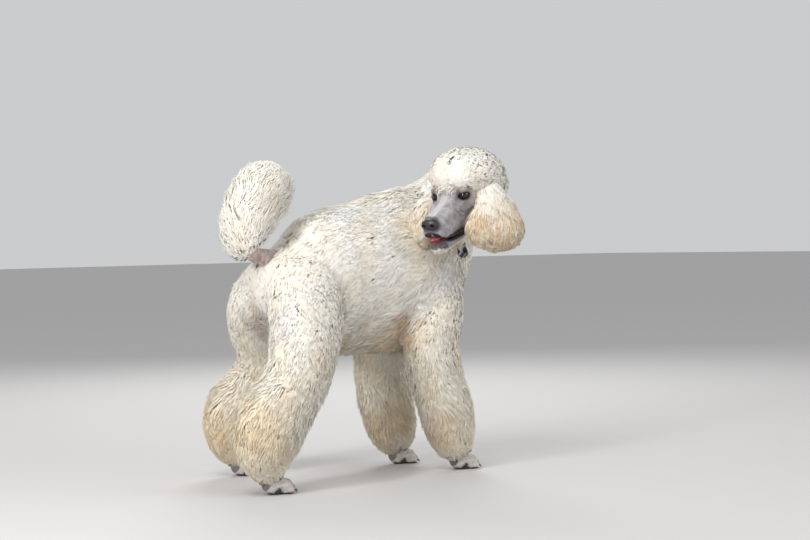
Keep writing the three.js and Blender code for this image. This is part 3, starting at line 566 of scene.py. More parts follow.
def node(tree, kind, **settings):
    made = tree.nodes.new(kind)
    for key, value in settings.items():
        if key in made.inputs:
            made.inputs[key].default_value = value
        else:
            setattr(made, key, value)
    return made


def surface_values(shader, **values):
    """Plain values of a surface, the same all over, set on the shader's own sockets."""
    for name, value in values.items():
        shader.inputs[name.replace("_", " ")].default_value = value


def add_texture(tree, shader, texture, output, tones=None, bump=None):
    """A texture on object coordinates gives a piece its two tones and its bump, by strength and depth."""
    where = node(tree, "ShaderNodeTexCoord")
    tree.links.new(where.outputs["Object"], texture.inputs["Vector"])
    if tones:
        ramp = node(tree, "ShaderNodeValToRGB")
        for stop, tone in zip(ramp.color_ramp.elements, tones):
            stop.color = (*tone, 1)
        tree.links.new(texture.outputs[output], ramp.inputs["Fac"])
        tree.links.new(ramp.outputs["Color"], shader.inputs["Base Color"])
    if bump:
        relief = node(tree, "ShaderNodeBump", Strength=bump[0], Distance=bump[1])
        tree.links.new(texture.outputs[output], relief.inputs["Height"])
        tree.links.new(relief.outputs["Normal"], shader.inputs["Normal"])


def mottle_group():
    """Colour varied over a surface: two sizes of noise lighten, darken and warm it."""
    group = bpy.data.node_groups.new("mottled tint", "ShaderNodeTree")
    face = group.interface
    face.new_socket("Tint", in_out="INPUT", socket_type="NodeSocketColor")
    for name in ("Fine scale", "Broad scale", "Amount"):
        face.new_socket(name, in_out="INPUT", socket_type="NodeSocketFloat")
    face.new_socket("Colour", in_out="OUTPUT", socket_type="NodeSocketColor")
    start = group.nodes.new("NodeGroupInput")
    end = group.nodes.new("NodeGroupOutput")
    where = group.nodes.new("ShaderNodeTexCoord")
    fine = group.nodes.new("ShaderNodeTexNoise")
    broad = group.nodes.new("ShaderNodeTexNoise")
    for noise, scale in ((fine, "Fine scale"), (broad, "Broad scale")):
        group.links.new(where.outputs["Object"], noise.inputs["Vector"])
        group.links.new(start.outputs[scale], noise.inputs["Scale"])
    both = group.nodes.new("ShaderNodeMath")
    both.operation = "ADD"
    group.links.new(fine.outputs["Fac"], both.inputs[0])
    group.links.new(broad.outputs["Fac"], both.inputs[1])
    spread = group.nodes.new("ShaderNodeMath")
    spread.operation = "MULTIPLY_ADD"
    group.links.new(both.outputs[0], spread.inputs[0])
    group.links.new(start.outputs["Amount"], spread.inputs[1])
    level = group.nodes.new("ShaderNodeMath")
    level.operation = "MULTIPLY_ADD"
    level.inputs[1].default_value = -1.0
    level.inputs[2].default_value = 1.0
    group.links.new(start.outputs["Amount"], level.inputs[0])
    group.links.new(level.outputs[0], spread.inputs[2])
    shade = group.nodes.new("ShaderNodeVectorMath")
    shade.operation = "SCALE"
    group.links.new(start.outputs["Tint"], shade.inputs[0])
    group.links.new(spread.outputs[0], shade.inputs["Scale"])
    group.links.new(shade.outputs["Vector"], end.inputs["Colour"])
    return group


mottled = mottle_group()


def add_mottle(tree, source, shader, fine, broad, amount):
    made = tree.nodes.new("ShaderNodeGroup")
    made.node_tree = mottled
    made.inputs["Fine scale"].default_value = fine
    made.inputs["Broad scale"].default_value = broad
    made.inputs["Amount"].default_value = amount
    tree.links.new(source, made.inputs["Tint"])
    tree.links.new(made.outputs["Colour"], shader.inputs["Base Color"])


def coat_material(name, roughness=0.8):
    made, tree, shader = material(name)
    tint = node(tree, "ShaderNodeVertexColor", layer_name="tint")
    add_mottle(tree, tint.outputs["Color"], shader, 240.0, 28.0, 0.16)
    surface_values(shader, Roughness=roughness, Specular_IOR_Level=0.25, Sheen_Weight=0.12,
                   Sheen_Roughness=0.5)
    return made


def skin_material(name, scale, strength, roughness, fine, amount):
    made, tree, shader = material(name)
    tint = node(tree, "ShaderNodeVertexColor", layer_name="tint")
    add_mottle(tree, tint.outputs["Color"], shader, fine, 60.0, amount)
    surface_values(shader, Roughness=roughness, Specular_IOR_Level=0.35, Subsurface_Weight=0.08,
                   Subsurface_Radius=(0.004, 0.002, 0.0015), Subsurface_Scale=0.6)
    pores = node(tree, "ShaderNodeTexNoise", Scale=scale, Detail=4.0)
    add_texture(tree, shader, pores, "Fac", bump=(strength, 0.0012))
    return made


white_coat = coat_material("poodle coat")
ear_coat = coat_material("ear feathering", 0.7)
coat_bed = skin_material("coat bed", 260.0, 0.9, 0.9, 200.0, 0.25)
shaved_face = skin_material("shaved face", 900.0, 0.5, 0.62, 700.0, 0.34)
shaved_feet = skin_material("shaved feet", 800.0, 0.5, 0.65, 600.0, 0.34)

# Skin of the body: the limbs at the depth where the coat's tufts take root, joined softly
BODY_LOW = np.array([-700.0, -300.0, -40.0])
BODY_HIGH = np.array([180.0, 320.0, 830.0])
BODY_STEP = 5.0
limbs = {
    "torso": torso,
    "neck": neck,
    "foreleg_right": forelegs["right"],
    "foreleg_left": forelegs["left"],
    "hindleg_right": hindlegs["right"],
    "hindleg_left": hindlegs["left"],
    "topknot": topknot,
    "plume": plume,
}
skin = Field(BODY_LOW, BODY_HIGH, BODY_STEP)
outline = Field(BODY_LOW, BODY_HIGH, BODY_STEP)
FILLET = {"torso": 10, "neck": 16, "topknot": 8, "plume": 2}
LEG_FILLET = 26
for name, limb in limbs.items():
    near = skin.of_tube(*limb.tube(CORE_SHARE))
    far = outline.of_tube(*limb.tube(1.0))
    fillet = FILLET.get(name, LEG_FILLET)
    skin.values = near if skin.values is None else melt(skin.values, near, fillet)
    outline.values = far if outline.values is None else melt(outline.values, far, 1.3 * fillet)
skin.values = melt(skin.values, skin.of_tube(*tail_root.tube(1.0)), 8)
skin_points, skin_quads = skin.surface()


def scattered(points, quads, count, seed):
    """Even random places on a surface, as points."""
    rng = np.random.default_rng(seed)
    triangles = np.vstack([quads[:, [0, 1, 2]], quads[:, [0, 2, 3]]])
    a, b, c = (points[triangles[:, i]] for i in range(3))
    area = np.linalg.norm(np.cross(b - a, c - a), axis=1)
    steps = np.cumsum(area) / area.sum()
    pick = np.searchsorted(steps, (np.arange(count) + rng.random(count)) / count)
    pick = np.minimum(pick, len(triangles) - 1)
    u, v = rng.random((2, count))
    over = u + v > 1
    u[over], v[over] = 1 - u[over], 1 - v[over]
    return a[pick] + (b - a)[pick] * u[:, None] + (c - a)[pick] * v[:, None]


def nearest_on(limb, points):
    """Distance to a limb's centre line over its size there, place along it and angle round it."""
    best = np.full(len(points), 1e9)
    where = np.zeros(len(points))
    for k, p in enumerate(limb.line):
        d = ((points - p) ** 2).sum(1)
        closer = d < best
        best[closer] = d[closer]
        where[closer] = k / 20.0
    along, upper, side = limb.frame(where)
    off = points - limb.rows(where)[:, :3]
    angle = np.arctan2((off * upper).sum(1), (off * side).sum(1))
    row = limb.rows(where)
    size = 0.5 * (row[:, 3] + 0.5 * (row[:, 4] + row[:, 5]) + CORE_SHARE * (row[:, 6] + row[:, 7]))
    return np.sqrt(best) / size, where, angle, along


# How far the normals of a tuft lean to the smooth lie of the coat, and the size of its patch of the map
SOFTNESS = 0.72
PATCH = 0.003


def tufts(name, roots, tips, bends, wide, thick, tint, uv, ground, sheet, blunt=False):
    """One mesh of curved, tapered three-sided tufts from roots over bends to tips."""
    count = len(roots)
    chain = [roots, *bends, tips]
    rings = len(chain) - 1
    lie = unit(tips - roots)
    across = unit(np.cross(lie, ground))
    points = np.zeros((count, 3 * rings + 1, 3))
    normals = np.zeros_like(points)
    rise = np.zeros(3 * rings + 1)
    for k in range(rings):
        taper = 1.0 if blunt else (1.0, 0.86, 0.62, 0.4)[k] if rings > 2 else (1.0, 0.74)[k]
        out = unit(np.cross(across, unit(chain[k + 1] - chain[k])))
        for j, (x, y) in enumerate([(-0.5, -0.2), (0.5, -0.2), (0.0, 0.55)]):
            offset = across * (x * wide * taper)[:, None] + out * (y * thick * taper)[:, None]
            points[:, 3 * k + j] = chain[k] + offset
            normals[:, 3 * k + j] = unit(offset)
        rise[3 * k:3 * k + 3] = k / rings
    points[:, -1] = tips
    normals[:, -1] = lie
    rise[-1] = 1.0
    normals = unit(normals * (1 - SOFTNESS) + ground[:, None, :] * SOFTNESS)
    faces_quad = []
    faces_tri = [(0, 1, 2)]
    for k in range(rings - 1):
        for j in range(3):
            m = (j + 1) % 3
            faces_quad.append((3 * k + j, 3 * k + 3 + j, 3 * k + 3 + m, 3 * k + m))
    for j in range(3):
        faces_tri.append((3 * rings - 3 + j, 3 * rings, 3 * rings - 3 + (j + 1) % 3))
    size = 3 * rings + 1
    base = np.arange(count)[:, None, None] * size
    quads = (base + np.array(faces_quad)).reshape(-1, 4)
    triangles = (base + np.array(faces_tri)).reshape(-1, 3)
    obj = mesh_object(name, sheet, points.reshape(-1, 3), quads, triangles)
    # Painted shade: each tuft is painted darker at its root, deep in the coat, and paler towards its tip
    shade = 0.93 + 0.08 * rise
    colours = tint[:, None, :] * shade[None, :, None]
    paint(obj, "tint", colours.reshape(-1, 3))
    obj.data.normals_split_custom_set_from_vertices(normals.reshape(-1, 3))
    layer = obj.data.uv_layers.new(name="OFBake")
    patch = np.zeros((size, 2))
    for k in range(rings):
        patch[3 * k:3 * k + 3] = [(aside, PATCH * k / rings) for aside in (-PATCH / 2, PATCH / 2, 0)]
    patch[-1] = (0.0, PATCH)
    vertex_uv = (uv[:, None, :] + patch[None]).reshape(-1, 2)
    loops = np.zeros(len(obj.data.loops), np.int32)
    obj.data.loops.foreach_get("vertex_index", loops)
    layer.data.foreach_set("uv", vertex_uv[loops].astype(np.float32).ravel())
    return obj


def gather(roots, tips, every, pull, seed):
    """Tips drawn together towards a guide tuft near each, which makes the small clumps of the coat."""
    rng = np.random.default_rng(seed)
    guides = rng.choice(len(roots), max(2, len(roots) // every), replace=False)
    tree = kdtree.KDTree(len(guides))
    for k, g in enumerate(guides):
        tree.insert(roots[g], k)
    tree.balance()
    found = np.array([tree.find(p)[1] for p in roots])
    target = tips[guides[found]]
    return tips + (target - tips) * pull


# The undercoat is broad and blunt and fills the depth; the outer coat is fine and reaches the outline
LAYERS = {
    "undercoat": {"count": 26000, "seed": 5, "wide": 13.0, "thick": 0.5,
                  "lean": 1.8, "reach": 0.90, "pull": 0.0, "stir": 1.2},
    "coat": {"count": 84000, "seed": 6, "wide": 4.4, "thick": 0.34,
             "lean": 1.2, "reach": 1.0, "pull": 0.12, "stir": 1.0},
}
LEAN = {"torso": 1.1, "neck": 1.0, "topknot": 1.0, "plume": 0.9}
LEG_LEAN = 1.0
RAGGED = {"topknot": 0.5, "plume": 2.6, "torso": 1.2, "neck": 1.2}
RAGGED_LEGS = 1.7
FLOW = {"torso": -1, "neck": -1, "topknot": -0.5, "plume": 1}
# Curls stir the lie: an amount, a size and a seed for each. The coat over the back droops a little
CURLS = ((0.36, 46, 40), (0.18, 15, 60))
DROOP = np.array([0, 0, -0.45])
SHORTEST_RUN, LONGEST_RUN = 17, 38
MOST_IN_A_PIECE = 19000
ROUND_THE_FEET = 26
HAIRLINE_BACK, HAIRLINE_TOP = -40, 26
coats = []


def body_coat(layer):
    """One layer of tufts over the body skin, in pieces by the limb that they grow on."""
    kind = LAYERS[layer]
    rng = np.random.default_rng(kind["seed"] + 100)
    roots = scattered(skin_points, skin_quads, kind["count"], kind["seed"])
    names = list(limbs)
    found = [nearest_on(limbs[n], roots) for n in names]
    nearest = np.stack([f[0] for f in found])
    owner = np.argmin(nearest, 0)
    weights = np.exp(-4.0 * (nearest - nearest.min(0)))
    weights /= weights.sum(0)
    along = sum(w[:, None] * f[3] * FLOW.get(n, 1) for w, f, n in zip(weights, found, names))
    ground = skin.slope(roots)
    roots = roots - ground * skin.sample(roots)[:, None]
    depth = np.clip(-outline.sample(roots), 2.0, 60.0)
    lie = along + DROOP * (owner < 2)[:, None]
    for amount, size, seed in CURLS:
        lie = lie + amount * wave_vectors(roots, size, seed)
    lie = lie + 0.12 * kind["stir"] * rng.normal(size=lie.shape)
    lie = lie - ground * (lie * ground).sum(1, keepdims=True)
    lie = unit(lie) * np.clip(np.linalg.norm(lie, axis=1, keepdims=True), 0.85, 1.25)
    lean = kind["lean"] * np.array([LEAN.get(n, LEG_LEAN) for n in names])[owner]
    span = np.clip(depth, SHORTEST_RUN, LONGEST_RUN)
    reach = kind["reach"] * depth * (1 + 0.05 * rng.normal(size=len(roots)))
    tips = roots + ground * reach[:, None] + lie * (lean * span)[:, None]
    if kind["pull"]:
        tips = gather(roots, tips, 11, kind["pull"], 3)
    for _ in range(8):
        stray = outline.sample(tips) > 12
        tips[stray] = roots[stray] + 0.8 * (tips - roots)[stray]
    away = outline.slope(tips)
    proud = 1.3 * waves(roots, 24, 70) + 1.0 * rng.normal(size=len(roots))
    proud = proud * np.array([RAGGED.get(n, RAGGED_LEGS) for n in names])[owner]
    proud = proud * smoothstep(0.0, 14.0, depth) - (1 - kind["reach"]) * depth
    tips = tips - away * (np.clip(outline.sample(tips) - proud, -30, 30))[:, None]
    bends = roots + ground * (0.80 * reach)[:, None] + lie * (0.30 * lean * span)[:, None]
    tint = coat_tint(0.4 * roots + 0.6 * tips) * (1 + 0.035 * rng.normal(size=(len(roots), 1)))
    wide = kind["wide"] * (0.8 + 0.2 * smoothstep(3, 20, depth)) * (1 + 0.2 * rng.normal(size=len(roots)))
    wide = np.clip(wide, 0.35 * kind["wide"], 1.6 * kind["wide"])
    face = to_head(tips)
    in_face = (head.sample(face) < 3.0) & (face[:, 0] > HAIRLINE_BACK) & (face[:, 2] < HAIRLINE_TOP)
    keep = ~in_face & (tips[:, 2] > ROUND_THE_FEET) & (roots[:, 2] > ROUND_THE_FEET + 8) & ~bare_skin(roots)
    keep &= (depth > 2.5) & ~near_collar(tips) & ~near_collar(bends)
    for k, n in enumerate(names):
        place = found[k][1]
        mine = np.flatnonzero(keep & (owner == k))
        mine = mine[np.argsort(place[mine])]
        pieces = max(1, math.ceil(len(mine) / MOST_IN_A_PIECE))
        for part, chosen in enumerate(np.array_split(mine, pieces)):
            uv = np.stack([0.01 + 0.97 * (found[k][2][chosen] / (2 * math.pi) + 0.5),
                           0.01 + 0.97 * place[chosen] / limbs[n].last], -1)
            ground_here = unit(0.6 * away[chosen] + 0.4 * ground[chosen])
            coats.append(tufts(
                "%s_%s_%d" % (layer, n, part + 1), roots[chosen] - ground[chosen] * 2.0, tips[chosen],
                [bends[chosen]], wide[chosen], kind["thick"] * wide[chosen], tint[chosen], uv, ground_here,
                white_coat, blunt=layer == "undercoat"))


# The bare root of the tail: its radius, its ends along the body and the height of its lower edge
BARE_RADIUS, BARE_FROM, BARE_TO, BARE_ABOVE = 27, -545, -452, 498


def bare_skin(points):
    """The shaved root of the tail and the thinly haired skin under it."""
    _, place, _, _ = nearest_on(tail_root, points)
    centre = tail_root.rows(place)[:, :3]
    d = np.linalg.norm(points - centre, axis=1)
    x, z = points[:, 0], points[:, 2]
    return (d < BARE_RADIUS) & (x > BARE_FROM) & (x < BARE_TO) & (z > BARE_ABOVE)


COLLAR_AT = np.array([3.0, -66.0, 586.0])
COLLAR_DOWN = unit(np.array([0.07, -0.65, -0.75]))
COLLAR_ACROSS = unit(np.cross(np.array([0.13, -0.74, 0.66]), COLLAR_DOWN))
COLLAR_AXIS = np.cross(COLLAR_DOWN, COLLAR_ACROSS)
COLLAR_HALF_WIDE, COLLAR_HALF_DEEP = 47, 86


def near_collar(points):
    """Where the collar shows at the throat, which the coat leaves clear."""
    off = points - COLLAR_AT
    a, d, n = off @ COLLAR_ACROSS, off @ COLLAR_DOWN, off @ COLLAR_AXIS
    return (d > 70) & (d < 112) & (np.abs(n) < 7) & (a > -26) & (a < 12)


# Head: shaped on a fine grid in distances forward, left and up of the point between the eyes
HEAD_STEP = 1.6
head = Field([-120, -66, -118], [130, 66, 52], HEAD_STEP)
# The way the left eye looks, seen from above, and the slant and half height of the opening between its lids
OUT = np.array([math.cos(math.radians(24)), math.sin(math.radians(24)), 0.0])
EYE_SLANT = 0.14
EYE_OPEN = 7.4
# Half widths of the upper lip at the places of its lower edge
LIP_SIDE = (24, 24, 21.5, 18, 11, 2)


def head_tube(limb):
    points, faces = limb.tube(1.0)
    return to_head(points), faces


def with_bones(form, sided):
    """Brow ridge, cheekbone, the whisker pad's swell, the flat of the bridge, and the hollows between."""
    for at, radii, fillet in (
        ((-8, 31, 15), (20, 17, 8), 9),
        ((-34, 42, -22), (34, 12, 15), 12),
        ((86, 14, -52), (30, 14, 17), 8),
        ((70, 9, -17), (48, 8, 7), 8),
    ):
        form = melt(form, bean(sided, at, radii), fillet)
    form = carve(form, bean(sided, (22, 33, -2), (20, 9, 12)), 7)
    return carve(form, bean(sided, (45, 33, -38), (34, 5, 16)), 9)


def with_lids(form, sided):
    """Socket, lids as a thick shell round the ball, the almond between them and the ball's room."""
    off = np.stack([axis - at for axis, at in zip(sided, EYE_SET)], -1)
    ball = np.sqrt(off[..., 0] ** 2 + off[..., 1] ** 2 + off[..., 2] ** 2)
    form = carve(form, bean(sided, (12, 39, 1), (15, 12, 11)), 4)
    form = melt(form, ball - 15.0, 3.5)
    ahead = off @ OUT
    aside = off @ np.array([-OUT[1], OUT[0], 0.0])
    up_off = off[..., 2] - EYE_SLANT * aside
    half_open = EYE_OPEN * np.sqrt(np.clip(1 - (np.clip(aside, -12.4, 12.4) / 12.6) ** 2, 0, 1))
    opening = np.maximum(np.abs(up_off) - half_open, np.abs(aside) - 12.2)
    opening = np.maximum(opening, 4.0 - ahead)
    form = carve(form, opening, 1.6)
    return np.maximum(form, (EYE_RADIUS - 0.1) - ball)


def with_folds(form, sided):
    """Folds from the inner corner of the eye down the muzzle, under the eye, and along the cheek."""
    form = carve(form, rod(sided, (24, 30, -14), (46, 29.5, -30), 1.0, 0.6), 3)
    form = carve(form, rod(sided, (6, 48, -15), (22, 40, -19), 1.2, 0.8), 3)
    return melt(form, rod(sided, (40, 26.5, -10), (14, 36.5, -42), 1.2, 0.6), 6)


def with_lips(form, grid, sided):
    """A rolled edge along the mouth line, the room inside, and the gap under the edge."""
    forward, _, height = grid
    for n in range(5):
        start, end = ((LIP_FORWARD[m], LIP_SIDE[m], LIP_HEIGHT[m] + 4.4) for m in (n, n + 1))
        form = melt(form, rod(sided, start, end, 4.2, 4.2), 5)
    form = carve(form, bean(grid, (66, 0, -77), (54, 16, 8)), 2)
    for start, end in (((2, 24, -83), (44, 22.5, -77.5)), ((44, 22.5, -77.5), (80, 17.5, -72))):
        form = melt(form, rod(sided, start, end, 3.4, 3.8), 4)
    lip_edge = lip_line(forward)
    gap = np.maximum(np.abs(height - lip_edge + 2.0) - 1.3, 14 - forward)
    form = carve(form, gap, 1.0)
    return np.where((forward > 60) & (height < lip_edge - 1.5), np.maximum(form, 1.2), form)


def lower_jaw(grid, sided):
    """The lower jaw with the bed of the tongue and its own lips."""
    lower = head.of_tube(*head_tube(jaw))
    lower = carve(lower, bean(grid, (66, 0, -75), (50, 14.0, 8)), 2.5)
    lower = melt(lower, rod(sided, (14, 22, -87), (66, 18.5, -86.5), 3.0, 3.0), 3)
    return melt(lower, rod(sided, (66, 18.5, -85.5), (103, 9, -77), 3.0, 2.8), 3)


def head_form():
    """The whole head: the jaw joins it at the back, then come the nose's bed, the chin and its groove."""
    grid = head.grid_points()
    sided = (grid[0], np.abs(grid[1]), grid[2])
    form = with_bones(head.of_tube(*head_tube(skull)), sided)
    form = with_lips(with_folds(with_lids(form, sided), sided), grid, sided)
    lower = lower_jaw(grid, sided)
    split = np.clip((grid[0] - 6) / 14, 0, 1)
    form = melt(form, lower, 9) * (1 - split) + np.minimum(form, lower) * split
    form = carve(form, bean(grid, (113, 0, -27), (12.5, 21.0, 13.5)), 2)
    form = melt(form, bean(grid, (99, 0, -93), (14, 11.5, 11)), 6)
    return carve(form, rod(grid, (122, 0, -40), (116, 0, -62), 1.0, 0.8), 2)


head.values = head_form().astype(np.float32)
head_local, head_quads = head.surface()
head_points = FACE_AT + head_local @ HEAD_AXES

body = mesh_object("skin_body", coat_bed, skin_points, skin_quads)
# Painted light: the bed under the tufts is painted paler than the coat over it, to lift the shade deep in the
# coat
tint = coat_tint(skin_points) * 1.06
bare = bare_skin(skin_points)
# The wrinkles of the bare tail root are only painted: darker and paler bands along it stand for the shade and
# light of its folds
folds = 0.5 + 0.5 * waves(skin_points[bare] * np.array([2.2, 1, 1]), 16, 23)
tint[bare] = np.array([0.56, 0.45, 0.42]) * (0.62 + 0.42 * folds)[:, None]
paint(body, "tint", tint)
face_skin = mesh_object("skin_head", shaved_face, head_points, head_quads)
paint(face_skin, "tint", face_tint(head_points))
for layer in LAYERS:
    body_coat(layer)


# Ears: a thin core and long waved locks that hang along it
EAR_LAYERS = {
    "ear_undercoat": {"count": 1500, "length": 34, "wide": 10.0, "pull": 0.0, "sunk": 0.22, "end": -10.0},
    "ear_coat": {"count": 9000, "length": 50, "wide": 3.7, "pull": 0.22, "sunk": 0.0, "end": 0.0},
}


def ear_coat_of(hand):
    limb = ears[hand]
    field = Field(limb.line.min(0) - 90, limb.line.max(0) + 90, 4.0)
    field.values = field.of_tube(*limb.tube(CORE_SHARE))
    rim = Field(limb.line.min(0) - 90, limb.line.max(0) + 90, 4.0)
    rim.values = rim.of_tube(*limb.tube(1.0, cap=0.1))
    points, quads = field.surface()
    core = mesh_object("ear_core_" + hand, coat_bed, points, quads)
    paint(core, "tint", ear_tint(points) * 0.95)
    made = [core]
    for layer, kind in EAR_LAYERS.items():
        rng = np.random.default_rng(31 if hand == "left" else 33)
        roots = scattered(points, quads, kind["count"], 12)
        ground = field.slope(roots)
        _, place, angle, along = nearest_on(limb, roots)
        depth = np.clip(-rim.sample(roots), 2, 40)
        fall = unit(along * 0.6 + np.array([0, 0, -0.6]))
        fall = fall - ground * (fall * ground).sum(1, keepdims=True) * 0.8
        sway = 0.16 * wave_vectors(roots, 40, 80) + 0.08 * wave_vectors(roots, 13, 90)
        sway = sway + 0.05 * rng.normal(size=roots.shape)
        length = kind["length"] * (1 + 0.16 * rng.normal(size=len(roots)))
        tips = roots + (fall + sway) * length[:, None] + ground * (0.9 * depth)[:, None]
        tips = gather(roots, tips, 9, kind["pull"], 9)
        out = rim.slope(tips)
        over = rim.sample(tips) - 1.8 * rng.normal(size=len(roots)) - 2.4 * waves(roots, 13, 21)
        over = over + kind["sunk"] * depth
        hanging = smoothstep(0.55, 0.85, place / limb.last)
        ragged = 3.0 * waves(roots, 13, 51) * hanging
        tips = tips - out * (np.clip(over, 0, 60) * (1 - hanging))[:, None]
        for _ in range(14):
            end = kind["end"] + ragged + (18 * hanging + 4) * rng.random(len(roots)) ** 2 - 7 * hanging
            stray = rim.sample(tips) > end
            tips[stray] = roots[stray] + 0.86 * (tips - roots)[stray]
        middle = roots + (tips - roots) * 0.34 + ground * (0.40 * depth)[:, None]
        middle = middle + wave_vectors(roots + 30 * fall, 20, 100) * 1.2
        later = roots + (tips - roots) * 0.70 + ground * (0.30 * depth)[:, None]
        later = later - wave_vectors(roots + 30 * fall, 20, 100) * 1.2
        for ring in (middle, later):
            beyond = rim.sample(ring) + 1.0 + kind["sunk"] * depth
            ring -= rim.slope(ring) * np.clip(beyond, 0, 60)[:, None]
        tint = ear_tint(0.2 * roots + 0.8 * tips) * (1 + 0.045 * rng.normal(size=(len(roots), 1)))
        face = to_head(tips)
        keep = ~((head.sample(face) < 2.0) & (face[:, 0] > -30))
        uv = np.stack([0.01 + 0.97 * (angle / (2 * math.pi) + 0.5), 0.01 + 0.97 * place / limb.last], -1)
        wide = kind["wide"] * (1 + 0.18 * rng.normal(size=len(roots)))
        smooth = unit(out + 0.6 * ground)
        made.append(tufts("%s_%s" % (layer, hand), (roots - ground * 2)[keep], tips[keep],
                          [middle[keep], later[keep]], wide[keep], 0.5 * wide[keep], tint[keep], uv[keep],
                          smooth[keep], ear_coat, blunt=layer == "ear_undercoat"))
    return made


ear_pieces = {hand: ear_coat_of(hand) for hand in ears}


def short_hair(name, field, origin, axes, count, way, size, keep, tint_at, sheet):
    """Fine hair lying flat over a shaved form.

    Its way, size, keep and tint are functions of places in the form's own directions.
    """
    rng = np.random.default_rng(count)
    roots = scattered(*field.surface(), count, 17)
    roots = roots[keep(roots)]
    ground = field.slope(roots)
    lie = way(roots) + 0.28 * rng.normal(size=roots.shape)
    lie = unit(lie - ground * (lie * ground).sum(1, keepdims=True))
    length = size(roots) * (1 + 0.22 * rng.normal(size=len(roots)))
    tips = roots + lie * length[:, None] + ground * (0.30 * length)[:, None]
    bends = roots + lie * (0.45 * length)[:, None] + ground * (0.24 * length)[:, None]
    wide = (0.45 + 0.17 * length) * (1 + 0.15 * rng.normal(size=len(roots)))
    tint = tint_at(roots) * (1 + 0.10 * rng.normal(size=(len(roots), 1)))
    turn = np.arctan2(roots[:, 1], roots[:, 2] + 40)
    uv = np.stack([0.01 + 0.97 * (turn / (2 * math.pi) + 0.5), 0.01 + 0.97 * (roots[:, 0] + 130) / 260], -1)
    placed = [origin + p @ axes for p in (roots - ground * 0.5, tips, bends)]
    return tufts(name, placed[0], placed[1], [placed[2]], wide, 0.5 * wide, tint, uv, ground @ axes, sheet)


# Feet: pads and toes shaped on a fine grid, and smooth claws
FOOT_HAIRS = 1700
FACE_HAIRS = 9000


def foot_frame(at, yaw):
    turn = math.radians(yaw)
    toward = np.array([math.cos(turn), math.sin(turn), 0])
    return np.asarray(at, float), np.array([toward, np.cross(UP, toward), UP])


def foot_skin(name, at, yaw):
    origin, axes = foot_frame(at, yaw)
    field = Field([-58, -42, -6], [62, 42, 92], 1.4)
    g = field.grid_points()
    shape = bean(g, (-7, 0, 20), (27, 24, 20))
    shape = melt(shape, rod(g, (-12, 0, 30), (-14, 0, 90), 21, 20), 10)
    for f, l, turn in TOES:
        way = math.radians(turn)
        out = np.array([math.cos(way), math.sin(way), 0])
        toe_axes = [out, np.cross(UP, out), UP]
        knuckle = bean(g, (f - 3, l, 17), (12, 6.5, 15.5), toe_axes)
        toe = melt(knuckle, bean(g, (f + 7, l * 1.06, 11), (10, 6.7, 10), toe_axes), 4)
        toe = melt(toe, bean(g, (f - 14, l * 0.9, 22), (14, 6.5, 13), toe_axes), 6)
        shape = melt(shape, toe, 1.2)
        shape = melt(shape, bean(g, (f + 6, l * 1.05, 4.6), (9, 6.0, 5.2), toe_axes), 1.2)
    shape = melt(shape, bean(g, (-6, 0, 6), (17, 15, 7)), 3)
    shape = np.maximum(shape, 0.3 - g[2])
    field.values = shape.astype(np.float32)
    points, quads = field.surface()
    made = mesh_object("skin_" + name, shaved_feet, origin + points @ axes, quads)
    low_part = smoothstep(7, 3, points[:, 2] + 1.2 * waves(points, 16, 2))
    beside = np.abs(np.abs(points[:, 1]) - 13.8)
    between_toes = smoothstep(1.5, 5.5, beside + np.where(points[:, 0] < 8, 9, 0))
    colour = np.tile(np.array([0.60, 0.53, 0.50]), (len(points), 1))
    colour = laid(colour, [0.78, 0.75, 0.71], 0.55 * (0.5 + 0.5 * waves(points, 14, 6)))
    # Painted shade: the skin is darkened in the clefts between the toes
    colour *= (0.50 + 0.50 * between_toes)[:, None]
    outer = smoothstep(1.25, 0.75, np.hypot((points[:, 0] + 8) / 9.0, (points[:, 2] - 5) / 12.0))
    heel = smoothstep(-31.5, -34.5, points[:, 0] - 0.25 * points[:, 2]) * smoothstep(30, 22, points[:, 2])
    low_part = np.maximum(low_part, np.maximum(outer, 0.8 * heel))
    paint(made, "tint", laid(colour, [0.07, 0.06, 0.062], low_part))
    hair = short_hair("hair_" + name, field, origin, axes, FOOT_HAIRS, foot_hair_way, foot_hair_size,
                      foot_hair_keep, foot_hair_tint, shaved_feet)
    return made, hair


def foot_hair_keep(p):
    side = np.hypot((p[:, 0] + 8) / 9.0, (p[:, 2] - 5) / 12.0)
    return (p[:, 2] > 6.5) & (p[:, 2] < 60) & (side > 1.0) & (p[:, 0] > -31 + 0.2 * p[:, 2])


def foot_hair_way(p):
    return np.tile(np.array([0.8, 0.0, -0.7]), (len(p), 1))


def foot_hair_size(p):
    return 4.2 + 3.0 * smoothstep(24, 40, p[:, 2])


def foot_hair_tint(p):
    return laid(np.array([0.60, 0.54, 0.51]), [0.88, 0.86, 0.83], 0.5 + 0.5 * waves(p, 9, 26))


feet = {name: foot_skin(name, at, yaw) for name, (at, yaw) in FEET.items()}


# On the head it lies back, longer and paler at the hairline, the cheeks and under the chin
def face_hair_way(p):
    way = np.tile(np.array([-1.0, 0.0, -0.25]), (len(p), 1))
    brow = smoothstep(8, 16, p[:, 2]) * smoothstep(40, 24, p[:, 0])
    return laid(way, [0.9, 0.0, -0.55], brow)


def face_hair_size(p):
    brow = smoothstep(8, 20, p[:, 2]) * smoothstep(40, 20, p[:, 0])
    cheek = smoothstep(-8, -34, p[:, 0])
    chin = smoothstep(-94, -100, p[:, 2])
    over_eye = 1 - smoothstep(10, 20, np.abs(np.abs(p[:, 1]) - EYE_SET[1]))
    return 2.4 + 12.5 * brow * (1 - 0.72 * over_eye) + 6.0 * cheek + 4.0 * chin


